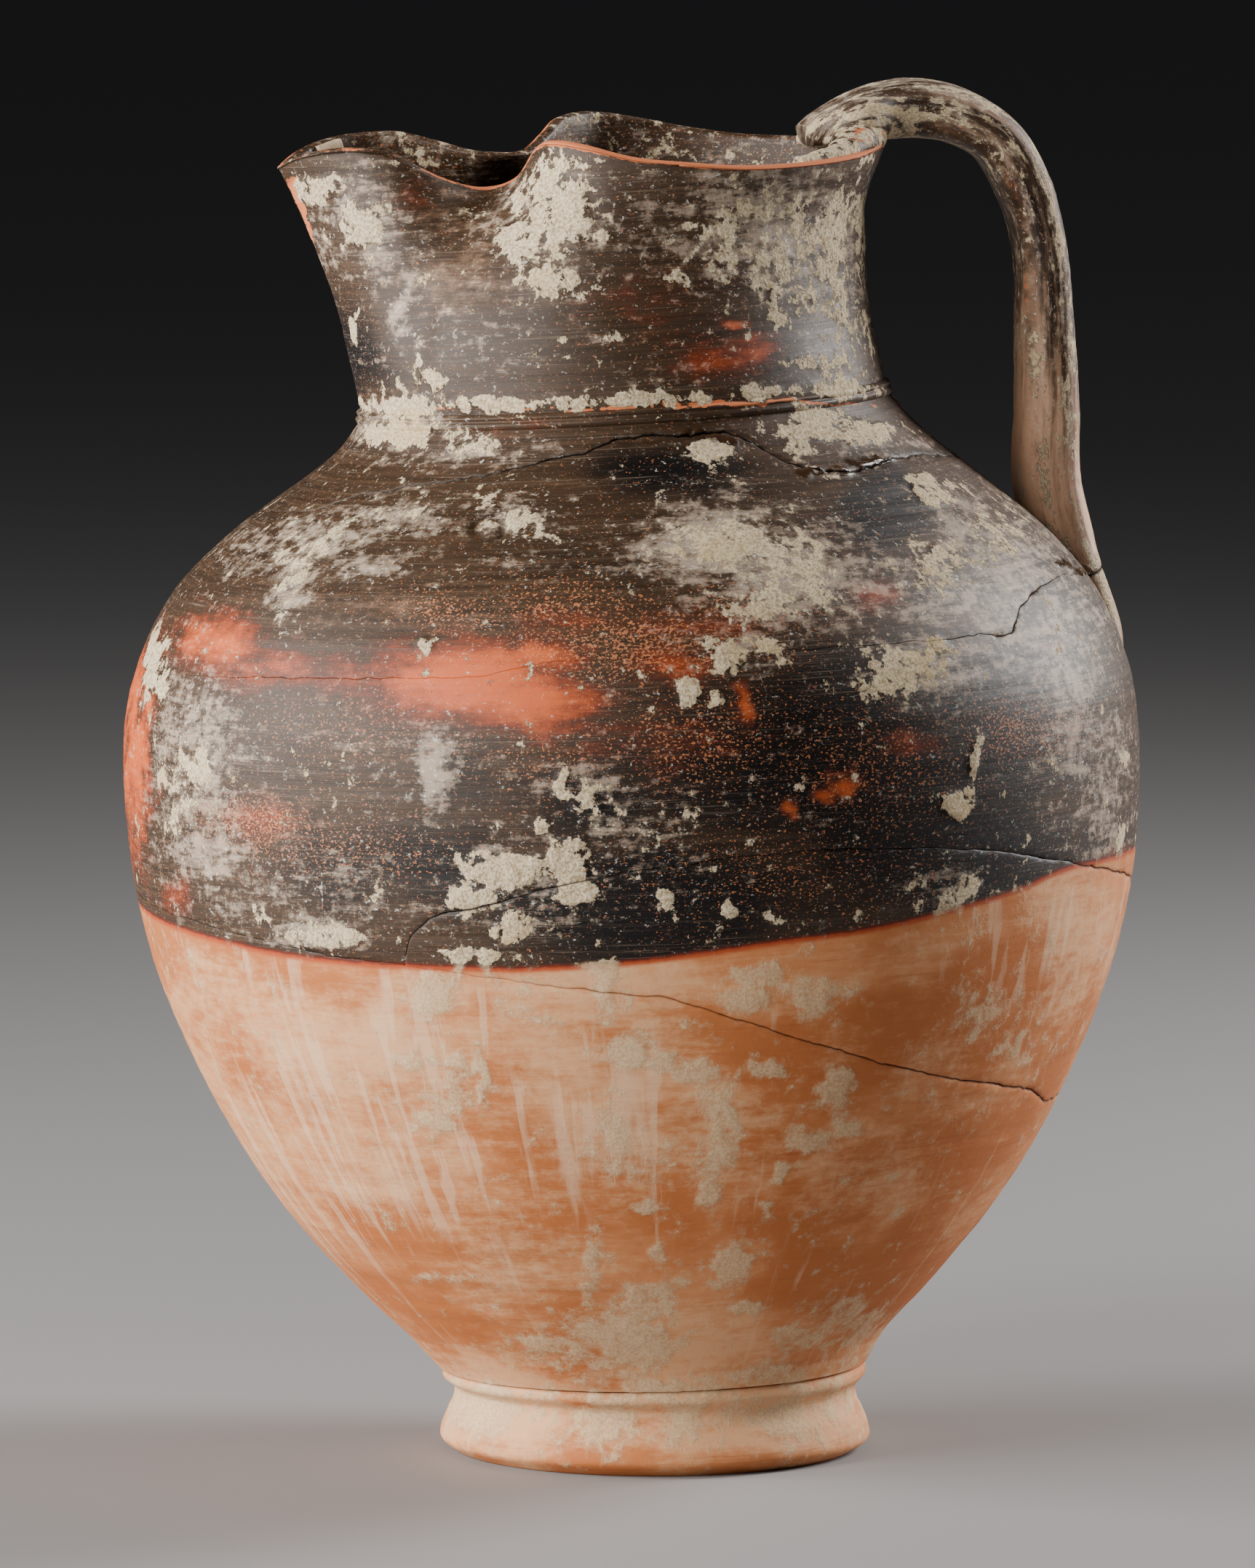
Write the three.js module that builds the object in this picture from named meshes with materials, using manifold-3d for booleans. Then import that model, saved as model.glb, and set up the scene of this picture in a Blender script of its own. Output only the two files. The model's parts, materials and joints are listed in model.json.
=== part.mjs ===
// Oinochoe: a wheel-made clay jug with a trefoil mouth and a strap handle, mended from its sherds.
// Millimetres, +Z up. The spout points along -X and the handle stands on the +X side.
// The jug is shaped upright round the Z axis, then every piece is bent by the lean of the real pot.
import * as THREE from 'three';
import { mergeVertices } from 'three/addons/utils/BufferGeometryUtils.js';
import Module from 'manifold-3d';

const wasm = await Module();
wasm.setup();

// Joins
const joinGap = 0.3;
const roundSteps = 48;

// Foot
const footHeight = 18.7;
const footRestRadius = 43.6;
const footWidestRadius = 47.2;
const footWidestHeight = 4.4;
const footWaistRadius = 44.1;
const footWaistHeight = 13;
const footRidgeRadius = 46.4;
const footRidgeHeight = 16.6;
const footEdgeRise = 2.9;

// Body
const bodyBaseRadius = 46.9;
const bellyRadius = 111.3;
const bellyHeight = 152;
const neckRadius = 57.4;
const neckJoinHeight = 230.4;
const wallThickness = 5.5;
const floorThickness = 7;

// Neck and mouth
const neckHeight = 53.6;
const neckWaist = 1.6;
const neckWall = 4.6;
const lipThickness = 3.2;
const lipRounding = 0.9;
const lipFlare = 5;
const mouthLength = 132.8;
const mouthWidth = 96;
const spoutReach = 71;
const filletHeight = 2.8;
const filletDepth = 1.5;

// Plaster fill in the far wall of the spout
const fillLength = 8;
const fillDepth = 13;
const fillFromTip = 14;

// Handle
const handleTurn = 9;
const handleWidth = 23;
const handleThickness = 11.1;
const handleReach = 96.2;
const handleRise = 7.4;
const handleMendShare = 0.466;
const handleRootShare = 0.115;

// Lean of the pot's axis towards the spout: height as a share of the neck's join, degrees, and
// millimetres of shift to the handle
const leanSteps = [
  [0, 0, 0], [0.061, 0, 0], [0.104, 2, -0.5], [0.851, 2, -0.5], [0.903, 2.4, -0.5],
  [0.964, 3, 1], [1.007, 3.4, 0.9], [1.068, 3.4, -0.5], [1.389, 3.4, -0.5],
];

// Outlines, as shares of the stretch between the sizes at their two ends
const lowerWallShape = [
  [0.055, 0.084], [0.115, 0.207], [0.175, 0.32], [0.235, 0.427], [0.325, 0.564],
  [0.43, 0.691], [0.55, 0.809], [0.67, 0.902], [0.79, 0.963], [0.895, 0.99],
];
const upperWallShape = [
  [0.153, 0.987], [0.255, 0.957], [0.357, 0.904], [0.459, 0.828], [0.561, 0.717],
  [0.663, 0.56], [0.765, 0.373], [0.842, 0.222], [0.906, 0.111], [0.957, 0.048],
];

// The lip seen from above and its rise over the neck: shares of the mouth's length from the back,
// shares of half its width, and its rise over the neck's nominal height as shares of that height
const nearLip = [
  [0.045, 0.42, -0.026], [0.13, 0.71, -0.037], [0.232, 0.9, -0.03], [0.33, 0.98, 0],
  [0.411, 0.98, 0.03], [0.491, 0.92, 0.086], [0.546, 0.77, 0.11], [0.572, 0.6, 0.09],
  [0.608, 0.4, -0.032], [0.648, 0.32, -0.076], [0.68, 0.35, -0.067], [0.742, 0.43, -0.002],
  [0.803, 0.46, 0.084], [0.86, 0.44, 0.114], [0.91, 0.37, 0.116], [0.965, 0.22, 0.093],
];
const farLip = [
  [0.965, 0.22, 0.108], [0.91, 0.37, 0.142], [0.86, 0.44, 0.149], [0.803, 0.46, 0.144],
  [0.742, 0.43, 0.104], [0.68, 0.35, 0.056], [0.648, 0.33, 0.041], [0.608, 0.38, 0.037],
  [0.572, 0.56, 0.097], [0.546, 0.72, 0.151], [0.491, 0.9, 0.164], [0.411, 0.98, 0.127],
  [0.33, 1, 0.078], [0.232, 0.93, 0.035], [0.13, 0.74, 0.017], [0.045, 0.44, 0.007],
];
const lipTipRise = 2.8;
const lipBackRise = 0.6;
const pinchPlace = 0.63;
const pinchSpan = 11;
const pinchEase = 1.6;
const lobeEase = 1.6;
const lobeStart = -20;
const lobeEnd = 15;

// Mends round the pot: degrees from +X (the side in the photo is -90), and shares of the wall's
// height from the foot to the neck
const shoulderMend = [
  [-180, 0.906], [-151, 0.916], [-143, 0.933], [-129, 0.945], [-107, 0.965], [-98, 0.97],
  [-92, 0.982], [-85, 0.985], [-76, 0.98], [-69, 0.983], [-64, 0.97], [-59, 0.95], [-53, 0.937],
  [-48, 0.935], [-37, 0.94], [-24, 0.942], [5, 0.924], [40, 0.939], [85, 0.913], [130, 0.927],
];
const hairlineMend = [
  [-180, 0.748], [-150, 0.755], [-123, 0.762], [-109, 0.763], [-98, 0.778], [-70, 0.778],
  [-44, 0.776], [-40, 0.773], [-38, 0.775], [-36, 0.787], [-34, 0.799], [-29, 0.81], [-20, 0.818],
  [5, 0.807], [60, 0.786], [110, 0.76], [150, 0.771],
];
const bellyMend = [
  [-117, 0.482], [-116, 0.503], [-112, 0.524], [-106, 0.538], [-94, 0.563], [-88, 0.57],
  [-69, 0.58], [-55, 0.571], [-45, 0.558], [-38, 0.545], [-25, 0.525], [-12, 0.504], [25, 0.45],
  [62, 0.408], [92, 0.37],
];
const baseMend = [
  [-180, 0.519], [-162, 0.512], [-145, 0.501], [-129, 0.484], [-113, 0.471], [-100, 0.453],
  [-87, 0.439], [-80, 0.417], [-67, 0.373], [-59, 0.35], [-45, 0.321], [-29, 0.299], [-18, 0.275],
  [15, 0.266], [55, 0.308], [92, 0.368], [125, 0.445], [155, 0.502],
];

// Colours of the clay, its slip and the plaster
const slipBlack = { color: 0x2d251f, roughness: 0.5, metalness: 0 };
const slipBrown = { color: 0x5a4334, roughness: 0.55, metalness: 0 };
const bareClay = { color: 0xc77a50, roughness: 0.8, metalness: 0 };
const paleClay = { color: 0xd6a682, roughness: 0.85, metalness: 0 };
const plaster = { color: 0xb3a58c, roughness: 0.9, metalness: 0 };

const outerReach = 2 * bellyRadius;
const topReach = neckJoinHeight + neckHeight + outerReach;
const lipHeight = neckJoinHeight + neckHeight;
const lipTip = -spoutReach;
const lipBack = lipTip + mouthLength;
const handleAngle = THREE.MathUtils.degToRad(handleTurn);

// Solids and meshes

function toSolid(geometry) {
  const bare = geometry.clone();
  bare.deleteAttribute('normal');
  bare.deleteAttribute('uv');
  const merged = mergeVertices(bare, 1e-4);
  const triVerts = Uint32Array.from(merged.index.array);
  const vertProperties = Float32Array.from(merged.attributes.position.array);
  return new wasm.Manifold(new wasm.Mesh({ numProp: 3, vertProperties, triVerts }));
}

// The value of a stepped line at a place: steps start with the place
function stepped(steps, at, column) {
  const after = steps.findIndex(([place]) => place >= at);
  const high = after < 0 ? steps.length - 1 : Math.max(after, 1);
  const [low, next] = [steps[high - 1], steps[high]];
  const share = THREE.MathUtils.clamp((at - low[0]) / (next[0] - low[0]), 0, 1);
  return low[column] + (next[column] - low[column]) * share;
}

function tiltAt(height) {
  return THREE.MathUtils.degToRad(stepped(leanSteps, height / neckJoinHeight, 1));
}

function makeSpine() {
  const centres = [[0, 0]];
  for (let height = 0; height < topReach; height += 1) {
    const [x, z] = centres[height];
    const tilt = tiltAt(height + 0.5);
    centres.push([x - Math.sin(tilt), z + Math.cos(tilt)]);
  }
  return centres;
}

const spine = makeSpine();

function leanPoint(x, y, height) {
  const low = THREE.MathUtils.clamp(Math.floor(height), 0, spine.length - 2);
  const share = height - low;
  const [x0, z0] = spine[low];
  const [x1, z1] = spine[low + 1];
  const tilt = tiltAt(height);
  const shift = stepped(leanSteps, height / neckJoinHeight, 2);
  const centreX = x0 + (x1 - x0) * share + shift;
  const centreZ = z0 + (z1 - z0) * share;
  return [centreX + x * Math.cos(tilt), y, centreZ + x * Math.sin(tilt)];
}

function addPiece(group, name, solid, look) {
  const { vertProperties, triVerts, numProp } = solid.getMesh();
  const places = new Float32Array((vertProperties.length / numProp) * 3);
  for (let i = 0; i < places.length / 3; i += 1) {
    const [x, y, z] = vertProperties.subarray(i * numProp, i * numProp + 3);
    places.set(leanPoint(x, y, z), i * 3);
  }
  const geometry = new THREE.BufferGeometry();
  geometry.setAttribute('position', new THREE.BufferAttribute(places, 3));
  geometry.setIndex(new THREE.BufferAttribute(Uint32Array.from(triVerts), 1));
  geometry.computeVertexNormals();
  const piece = new THREE.Mesh(geometry, new THREE.MeshStandardMaterial(look));
  piece.name = name;
  group.add(piece);
}

function revolve(profile) {
  const points = profile.map(([radius, height]) => new THREE.Vector2(radius, height));
  return toSolid(new THREE.LatheGeometry(points, roundSteps).rotateX(Math.PI / 2));
}

// A grid of points joined to a closed skin: rows close on themselves, and so do columns if wrapped,
// or else the first and last rows are capped
function skin(rows, wrapped) {
  const across = rows[0].length;
  const places = rows.flat(2);
  const index = [];
  const quads = wrapped ? rows.length : rows.length - 1;
  for (let i = 0; i < quads; i += 1) {
    for (let j = 0; j < across; j += 1) {
      const a = i * across + j;
      const b = i * across + ((j + 1) % across);
      const c = ((i + 1) % rows.length) * across + ((j + 1) % across);
      const d = ((i + 1) % rows.length) * across + j;
      index.push(a, b, c, a, c, d);
    }
  }
  if (!wrapped) {
    [rows[0], rows[rows.length - 1]].forEach((row, end) => {
      const middle = places.length / 3;
      const sum = row.reduce((total, point) => total.map((v, k) => v + point[k]), [0, 0, 0]);
      places.push(...sum.map((v) => v / across));
      const first = end === 0 ? 0 : (rows.length - 1) * across;
      for (let j = 0; j < across; j += 1) {
        const next = first + ((j + 1) % across);
        index.push(...(end === 0 ? [middle, next, first + j] : [middle, first + j, next]));
      }
    });
  }
  const geometry = new THREE.BufferGeometry();
  geometry.setAttribute('position', new THREE.Float32BufferAttribute(places, 3));
  geometry.setIndex(index);
  return toSolid(geometry);
}

// The wall's outline, from the foot to the neck

function wallCurve() {
  const lower = lowerWallShape.map(([up, out]) => [
    bodyBaseRadius + (bellyRadius - bodyBaseRadius) * out,
    footHeight + (bellyHeight - footHeight) * up,
  ]);
  const upper = upperWallShape.map(([up, inward]) => [
    neckRadius + (bellyRadius - neckRadius) * inward,
    bellyHeight + (neckJoinHeight - bellyHeight) * up,
  ]);
  const ends = [[bodyBaseRadius, footHeight], [neckRadius, neckJoinHeight]];
  const points = [ends[0], ...lower, [bellyRadius, bellyHeight], ...upper, ends[1]];
  return new THREE.SplineCurve(points.map(([radius, height]) => new THREE.Vector2(radius, height)));
}

const wallOutline = wallCurve();
const wallSteps = 15;
const slopedWall = 1.4;

function wallRadius(height) {
  const points = wallOutline.getPoints(wallSteps * 4);
  const above = points.findIndex((point) => point.y >= height);
  if (above <= 0) return points[above === 0 ? 0 : points.length - 1].x;
  const [low, high] = [points[above - 1], points[above]];
  return low.x + ((high.x - low.x) * (height - low.y)) / (high.y - low.y);
}

// The wall moved outwards by grow, or inwards where grow is negative
function wallPoints(grow) {
  return wallOutline.getPoints(wallSteps).map((point, i) => {
    const way = wallOutline.getTangent(i / wallSteps);
    return [point.x + way.y * grow, point.y - way.x * grow];
  });
}

function bodyWall() {
  const low = footHeight + joinGap;
  const high = neckJoinHeight - joinGap / 2;
  const floor = low + floorThickness;
  const outside = wallPoints(0).filter(([, z]) => z > low + joinGap && z < high - joinGap);
  const inside = wallPoints(-wallThickness).filter(([, z]) => z > floor + joinGap && z < high - joinGap);
  const floorRadius = wallRadius(floor) - wallThickness * slopedWall;
  return revolve([
    [0, low],
    [bodyBaseRadius, low],
    ...outside,
    [neckRadius, high],
    [neckRadius - neckWall, high],
    ...inside.reverse(),
    [floorRadius, floor],
    [0, floor],
  ]);
}

function bodyFilled(grow) {
  const outside = wallPoints(grow).filter(([, z]) => z > footHeight + joinGap);
  return revolve([[0, footHeight + joinGap], ...outside, [0, outside[outside.length - 1][1]]]);
}

// Blocks with one wavy face, which part the wall along its mends

function mendHeight(mend, degrees) {
  const first = mend[0];
  const last = mend[mend.length - 1];
  const closed = [[last[0] - 360, last[1]], ...mend, [first[0] + 360, first[1]]];
  return footHeight + (neckJoinHeight - footHeight) * stepped(closed, degrees, 1);
}

const mendSteps = roundSteps;
const mendRings = 8;
const innerReach = neckRadius / 3;

function blockOver(heightAt) {
  const ring = (radius, level) => Array.from({ length: mendSteps }, (_, i) => {
    const degrees = (360 * i) / mendSteps - 180;
    const angle = THREE.MathUtils.degToRad(degrees);
    return [radius * Math.cos(angle), radius * Math.sin(angle), level ?? heightAt(degrees)];
  });
  const wavy = Array.from({ length: mendRings }, (_, i) => (
    ring(innerReach * (outerReach / innerReach) ** (i / (mendRings - 1)))
  ));
  const flat = [ring(outerReach, topReach), ring(innerReach, topReach)];
  return skin([...wavy, ...flat], false);
}

function above(solid, heightAt) {
  return solid.intersect(blockOver((degrees) => heightAt(degrees) + joinGap / 2));
}

function below(solid, heightAt) {
  return solid.subtract(blockOver((degrees) => heightAt(degrees) - joinGap / 2));
}

// The wedge lies between the base mend and the belly mend, which is a bump on the base mend
const wedgeStart = bellyMend[0][0];
const wedgeEnd = bellyMend[bellyMend.length - 1][0];

function wedgeTop(degrees) {
  const base = mendHeight(baseMend, degrees);
  if (degrees <= wedgeStart || degrees >= wedgeEnd) return base;
  return Math.max(base, mendHeight(bellyMend, degrees));
}

function makeBody(group) {
  const wall = bodyWall();
  const baseAt = (degrees) => mendHeight(baseMend, degrees);
  const hairlineAt = (degrees) => mendHeight(hairlineMend, degrees);
  const shoulderAt = (degrees) => mendHeight(shoulderMend, degrees);
  const overBase = above(wall, baseAt);
  const belly = below(above(overBase, wedgeTop), hairlineAt);
  addPiece(group, 'base_sherd', below(wall, baseAt), bareClay);
  addPiece(group, 'belly_wedge_sherd', below(overBase, wedgeTop), bareClay);
  addPiece(group, 'belly_sherd', belly, slipBlack);
  addPiece(group, 'shoulder_sherd', below(above(wall, hairlineAt), shoulderAt), slipBlack);
  addPiece(group, 'upper_shoulder_sherd', above(wall, shoulderAt), slipBrown);
}

function makeFoot(group) {
  const foot = revolve([
    [0, 0],
    [footRestRadius, 0],
    [footWidestRadius, footEdgeRise],
    [footWidestRadius, footWidestHeight],
    [(footWidestRadius + footWaistRadius) / 2, (footWidestHeight + footWaistHeight) / 2],
    [footWaistRadius, footWaistHeight],
    [footWaistRadius, (footWaistHeight + footRidgeHeight) / 2],
    [footRidgeRadius, footRidgeHeight],
    [footRidgeRadius, footHeight],
    [0, footHeight],
  ]);
  addPiece(group, 'foot', foot, paleClay);
}

// Neck and trefoil mouth

function lipCurve() {
  const place = (side) => ([back, out, rise]) => new THREE.Vector3(
    lipBack - back * mouthLength,
    (side * out * mouthWidth) / 2,
    lipHeight + rise * neckHeight,
  );
  const back = new THREE.Vector3(lipBack, 0, lipHeight + lipBackRise);
  const tip = new THREE.Vector3(lipTip, 0, lipHeight + lipTipRise);
  const points = [back, ...nearLip.map(place(-1)), tip, ...farLip.map(place(1))];
  return new THREE.CatmullRomCurve3(points, true, 'centripetal');
}

const lip = lipCurve();
const lipSteps = 64;
const neckRows = [0, 0.2, 0.38, 0.54, 0.68, 0.8, 0.91, 1];

function lipPoint(step) {
  return lip.getPoint(((step + lipSteps) % lipSteps) / lipSteps);
}

// How much of the lip's outline the neck has taken on at a share of its height: the pinched folds
// start higher up than the lobes
function lipShare(point, up) {
  const fromPinch = point.x - lipBack + pinchPlace * mouthLength;
  const pinch = Math.exp(-((fromPinch / pinchSpan) ** 2));
  return up ** (lobeEase + pinchEase * pinch);
}

function neckRing(up, grow) {
  const flare = lipFlare * (1 - THREE.MathUtils.smoothstep(up, 0.7, 1));
  const ring = Array.from({ length: lipSteps }, (_, step) => {
    const point = lipPoint(step);
    const way = lipPoint(step + 1).sub(lipPoint(step - 1)).setZ(0).normalize();
    const lobe = THREE.MathUtils.smoothstep(point.x, lobeStart, lobeEnd);
    const turned = Math.atan2(point.y, point.x);
    const even = -(2 * Math.PI * step) / lipSteps;
    const gap = Math.atan2(Math.sin(turned - even), Math.cos(turned - even));
    const angle = even + gap / 2;
    const share = lipShare(point, up);
    const roundRadius = neckRadius - neckWaist * THREE.MathUtils.smoothstep(up, 0, 0.5);
    const round = [roundRadius * Math.cos(angle), roundRadius * Math.sin(angle)];
    const lobed = [point.x + way.y * flare * lobe, point.y - way.x * flare * lobe];
    const z = neckJoinHeight + joinGap / 2 + up * (point.z - neckJoinHeight - joinGap / 2);
    return [
      round[0] + (lobed[0] - round[0]) * share,
      round[1] + (lobed[1] - round[1]) * share,
      z,
    ];
  });
  return moveRing(ring, grow);
}

// A ring moved outwards in plan by an even amount
function moveRing(ring, out) {
  return ring.map(([x, y, z], i) => {
    const next = ring[(i + 1) % ring.length];
    const last = ring[(i + ring.length - 1) % ring.length];
    const length = Math.hypot(next[0] - last[0], next[1] - last[1]);
    const way = [(next[0] - last[0]) / length, (next[1] - last[1]) / length];
    return [x - way[1] * out, y + way[0] * out, z];
  });
}

function liftRing(ring, up) {
  return ring.map(([x, y, z]) => [x, y, z + up]);
}

function neckSolid(grow) {
  const wallAt = (up) => neckWall + (lipThickness - neckWall) * up;
  const outside = neckRows.map((up) => neckRing(up, grow));
  const inside = neckRows.map((up) => moveRing(neckRing(up, 0), -wallAt(up) - grow));
  const top = outside.length - 1;
  const crown = moveRing(neckRing(1, 0), -lipThickness / 2);
  outside[0] = liftRing(outside[0], -grow);
  inside[0] = liftRing(inside[0], -grow);
  outside[top] = liftRing(outside[top], -lipRounding + grow);
  inside[top] = liftRing(inside[top], -lipRounding + grow);
  const rows = [...outside, liftRing(crown, grow), ...inside.reverse()];
  return skin(rows.map((row) => row.reverse()), true);
}

function block(low, high) {
  const size = high.map((value, i) => value - low[i]);
  const middle = high.map((value, i) => (value + low[i]) / 2);
  return toSolid(new THREE.BoxGeometry(...size).translate(...middle));
}

function makeNeck(group, neck) {
  const low = [lipTip + fillFromTip, 0, lipHeight + lipTipRise - fillDepth];
  const high = [lipTip + fillFromTip + fillLength, mouthWidth, topReach];
  const wider = (corner, way) => corner.map((value) => value + way * joinGap);
  addPiece(group, 'neck', neck.subtract(block(wider(low, -1), wider(high, 1))), slipBrown);
  addPiece(group, 'spout_fill', neck.intersect(block(low, high)), plaster);
}

function makeFillet(group) {
  const inside = neckRadius + joinGap;
  const low = neckJoinHeight - filletHeight * 0.1;
  const high = low + filletHeight;
  const fillet = revolve([
    [inside, low],
    [inside + filletDepth * 0.7, low],
    [inside + filletDepth, low + filletHeight * 0.35],
    [inside + filletDepth * 0.7, low + filletHeight * 0.75],
    [inside, high],
    [inside, low],
  ]);
  addPiece(group, 'neck_fillet', fillet.subtract(neckSolid(joinGap)), bareClay);
}

// Strap handle, along its run from the lip: shares of its reach past the lip, of its drop from the
// top to the mend, of its thickness, and of its near and far half widths
const strapShape = [
  [-0.36, 0.052, 0.45, 0.7, 0.9], [-0.24, 0.038, 0.72, 1.3, 1.2], [-0.053, 0.021, 0.99, 1.5, 1.2],
  [0.133, 0.01, 1.12, 1.15, 1.05], [0.32, 0.011, 1.15, 1, 1], [0.532, 0.031, 1.1, 1, 1],
  [0.753, 0.084, 1.03, 1, 1], [0.886, 0.17, 1.03, 1, 1], [0.971, 0.282, 0.96, 1, 1],
  [0.992, 0.42, 1.01, 1, 1], [0.947, 0.58, 1.13, 1, 1], [0.936, 0.73, 1.22, 1, 1],
  [0.965, 0.83, 1.25, 1, 1],
];
// The strap's lower end lies on the shoulder: shares of the shoulder's height
const shoulderHeight = neckJoinHeight - bellyHeight;
const handleMendHeight = bellyHeight + handleMendShare * shoulderHeight;
const handleRootHeight = bellyHeight + handleRootShare * shoulderHeight;
const handleInset = 1.6;

function handleRun() {
  const top = lipHeight + handleRise;
  const half = handleWidth / 2;
  const rest = lipBack - lipThickness;
  const mendRadius = wallRadius(handleMendHeight);
  const middle = (handleMendHeight + handleRootHeight) / 2;
  const drop = top - handleMendHeight;
  const sized = ([reach, fall, thick, near, far]) => (
    [rest + reach * (handleReach - rest), top - fall * drop, thick * handleThickness, near * half, far * half]
  );
  const lower = [
    [(handleReach + mendRadius) / 2 - handleInset, top - drop * 0.93, 1.22, 1],
    [mendRadius - handleInset, handleMendHeight, 1, 1.1],
    [wallRadius(middle) - handleInset * 2, middle, 0.77, 1.2],
    [wallRadius(handleRootHeight) - handleThickness / 2, handleRootHeight, 0.45, 1.2],
  ];
  const ended = ([radius, height, thick, wide]) => (
    [radius, height, thick * handleThickness, wide * half, wide * half]
  );
  return [...strapShape.map(sized), ...lower.map(ended)];
}

const handleSteps = 30;
const sectionSteps = 12;
const sectionPower = 3;

function handleRow(run, share) {
  const place = ([radius, height]) => new THREE.Vector2(radius, height);
  const path = new THREE.SplineCurve(run.map(place));
  const point = path.getPoint(share);
  const way = path.getTangent(share);
  const knot = share * (run.length - 1);
  const low = Math.min(Math.floor(knot), run.length - 2);
  const mix = (k) => run[low][k] + (run[low + 1][k] - run[low][k]) * (knot - low);
  return Array.from({ length: sectionSteps }, (_, i) => {
    const angle = (2 * Math.PI * (i + 0.5)) / sectionSteps;
    const [c, s] = [Math.cos(angle), Math.sin(angle)];
    const fat = (Math.abs(c) ** sectionPower + Math.abs(s) ** sectionPower) ** (-1 / sectionPower);
    const out = (mix(2) / 2) * s * fat;
    const side = (c < 0 ? mix(3) : mix(4)) * c * fat;
    const radius = point.x - way.y * out;
    const height = point.y + way.x * out;
    return [
      radius * Math.cos(handleAngle) - side * Math.sin(handleAngle),
      radius * Math.sin(handleAngle) + side * Math.cos(handleAngle),
      height,
    ];
  });
}

function makeHandle(group, neckAndGap) {
  const run = handleRun();
  const rows = Array.from({ length: handleSteps + 1 }, (_, i) => handleRow(run, i / handleSteps));
  const strap = skin(rows, false).subtract(bodyFilled(joinGap)).subtract(neckAndGap);
  const wide = [-outerReach, -outerReach];
  const over = block([...wide, handleMendHeight + joinGap / 2], [outerReach, outerReach, topReach]);
  const under = block([...wide, 0], [outerReach, outerReach, handleMendHeight - joinGap / 2]);
  addPiece(group, 'handle', strap.intersect(over), slipBrown);
  addPiece(group, 'handle_root', strap.intersect(under), slipBrown);
}

const oinochoe = new THREE.Group();
makeFoot(oinochoe);
makeBody(oinochoe);
makeFillet(oinochoe);
makeNeck(oinochoe, neckSolid(0));
makeHandle(oinochoe, neckSolid(joinGap));

export default oinochoe;
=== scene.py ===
"""Looks of a mended clay jug with a trefoil mouth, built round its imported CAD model.

Lengths are millimetres until a mesh is made. The jug is shaped upright round the Z axis, and every
piece is then bent by the lean of the real pot. Places on the photographed side are given as seen
from the camera: millimetres right of the foot's centre and millimetres over the ground.
"""

import json
import math

import bpy
import numpy as np
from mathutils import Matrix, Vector


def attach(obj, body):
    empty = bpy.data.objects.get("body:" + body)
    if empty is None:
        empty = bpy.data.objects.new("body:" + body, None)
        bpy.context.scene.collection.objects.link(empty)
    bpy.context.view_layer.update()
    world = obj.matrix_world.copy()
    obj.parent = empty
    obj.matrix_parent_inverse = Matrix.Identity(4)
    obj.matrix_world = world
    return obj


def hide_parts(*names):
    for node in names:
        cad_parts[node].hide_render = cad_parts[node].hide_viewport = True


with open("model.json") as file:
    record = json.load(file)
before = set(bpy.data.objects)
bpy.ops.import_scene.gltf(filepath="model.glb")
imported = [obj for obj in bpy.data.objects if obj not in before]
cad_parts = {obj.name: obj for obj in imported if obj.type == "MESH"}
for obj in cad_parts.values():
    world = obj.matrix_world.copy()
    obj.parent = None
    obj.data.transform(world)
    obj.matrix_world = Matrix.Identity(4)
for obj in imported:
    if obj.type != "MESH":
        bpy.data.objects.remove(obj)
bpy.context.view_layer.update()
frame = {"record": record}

# Sizes of the pot, as in its CAD
FOOT_HEIGHT = 18.7
FOOT_REST_RADIUS = 43.6
FOOT_WIDEST_RADIUS = 47.2
FOOT_WAIST_RADIUS = 44.1
FOOT_RIDGE_RADIUS = 46.4
BODY_BASE_RADIUS = 46.9
BELLY_RADIUS = 111.3
BELLY_HEIGHT = 152.0
NECK_RADIUS = 57.4
NECK_JOIN = 230.4
NECK_HEIGHT = 53.6
NECK_WAIST = 1.6
WALL = 5.5
NECK_WALL = 4.6
LIP_THICKNESS = 3.2
LIP_FLARE = 5.0
MOUTH_LENGTH = 132.8
MOUTH_WIDTH = 96.0
SPOUT_REACH = 71.0
LIP_TIP_RISE = 2.8
LIP_BACK_RISE = 0.6
PINCH_PLACE = 0.63
PINCH_SPAN = 11.0
EASE = 1.6
LOBE = (-20.0, 15.0)
FILLET_HEIGHT = 2.8
FILL_LENGTH = 8.0
FILL_DEPTH = 13.0
FILL_FROM_TIP = 14.0
HANDLE_TURN = math.radians(9)
HANDLE_WIDTH = 23.0
HANDLE_THICKNESS = 11.1
HANDLE_REACH = 96.2
HANDLE_RISE = 7.4
HANDLE_MEND_SHARE = 0.466
HANDLE_ROOT_SHARE = 0.115
HANDLE_INSET = 1.6
GAP = 0.3

LIP_HEIGHT = NECK_JOIN + NECK_HEIGHT
LIP_BACK = MOUTH_LENGTH - SPOUT_REACH
SHOULDER_HEIGHT = NECK_JOIN - BELLY_HEIGHT

# Lean towards the spout: height as a share of the neck's join, degrees, shift to the handle
LEAN = np.array([
    (0, 0, 0), (0.061, 0, 0), (0.104, 2, -0.5), (0.851, 2, -0.5), (0.903, 2.4, -0.5), (0.964, 3, 1),
    (1.007, 3.4, 0.9), (1.068, 3.4, -0.5), (1.389, 3.4, -0.5),
])
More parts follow.
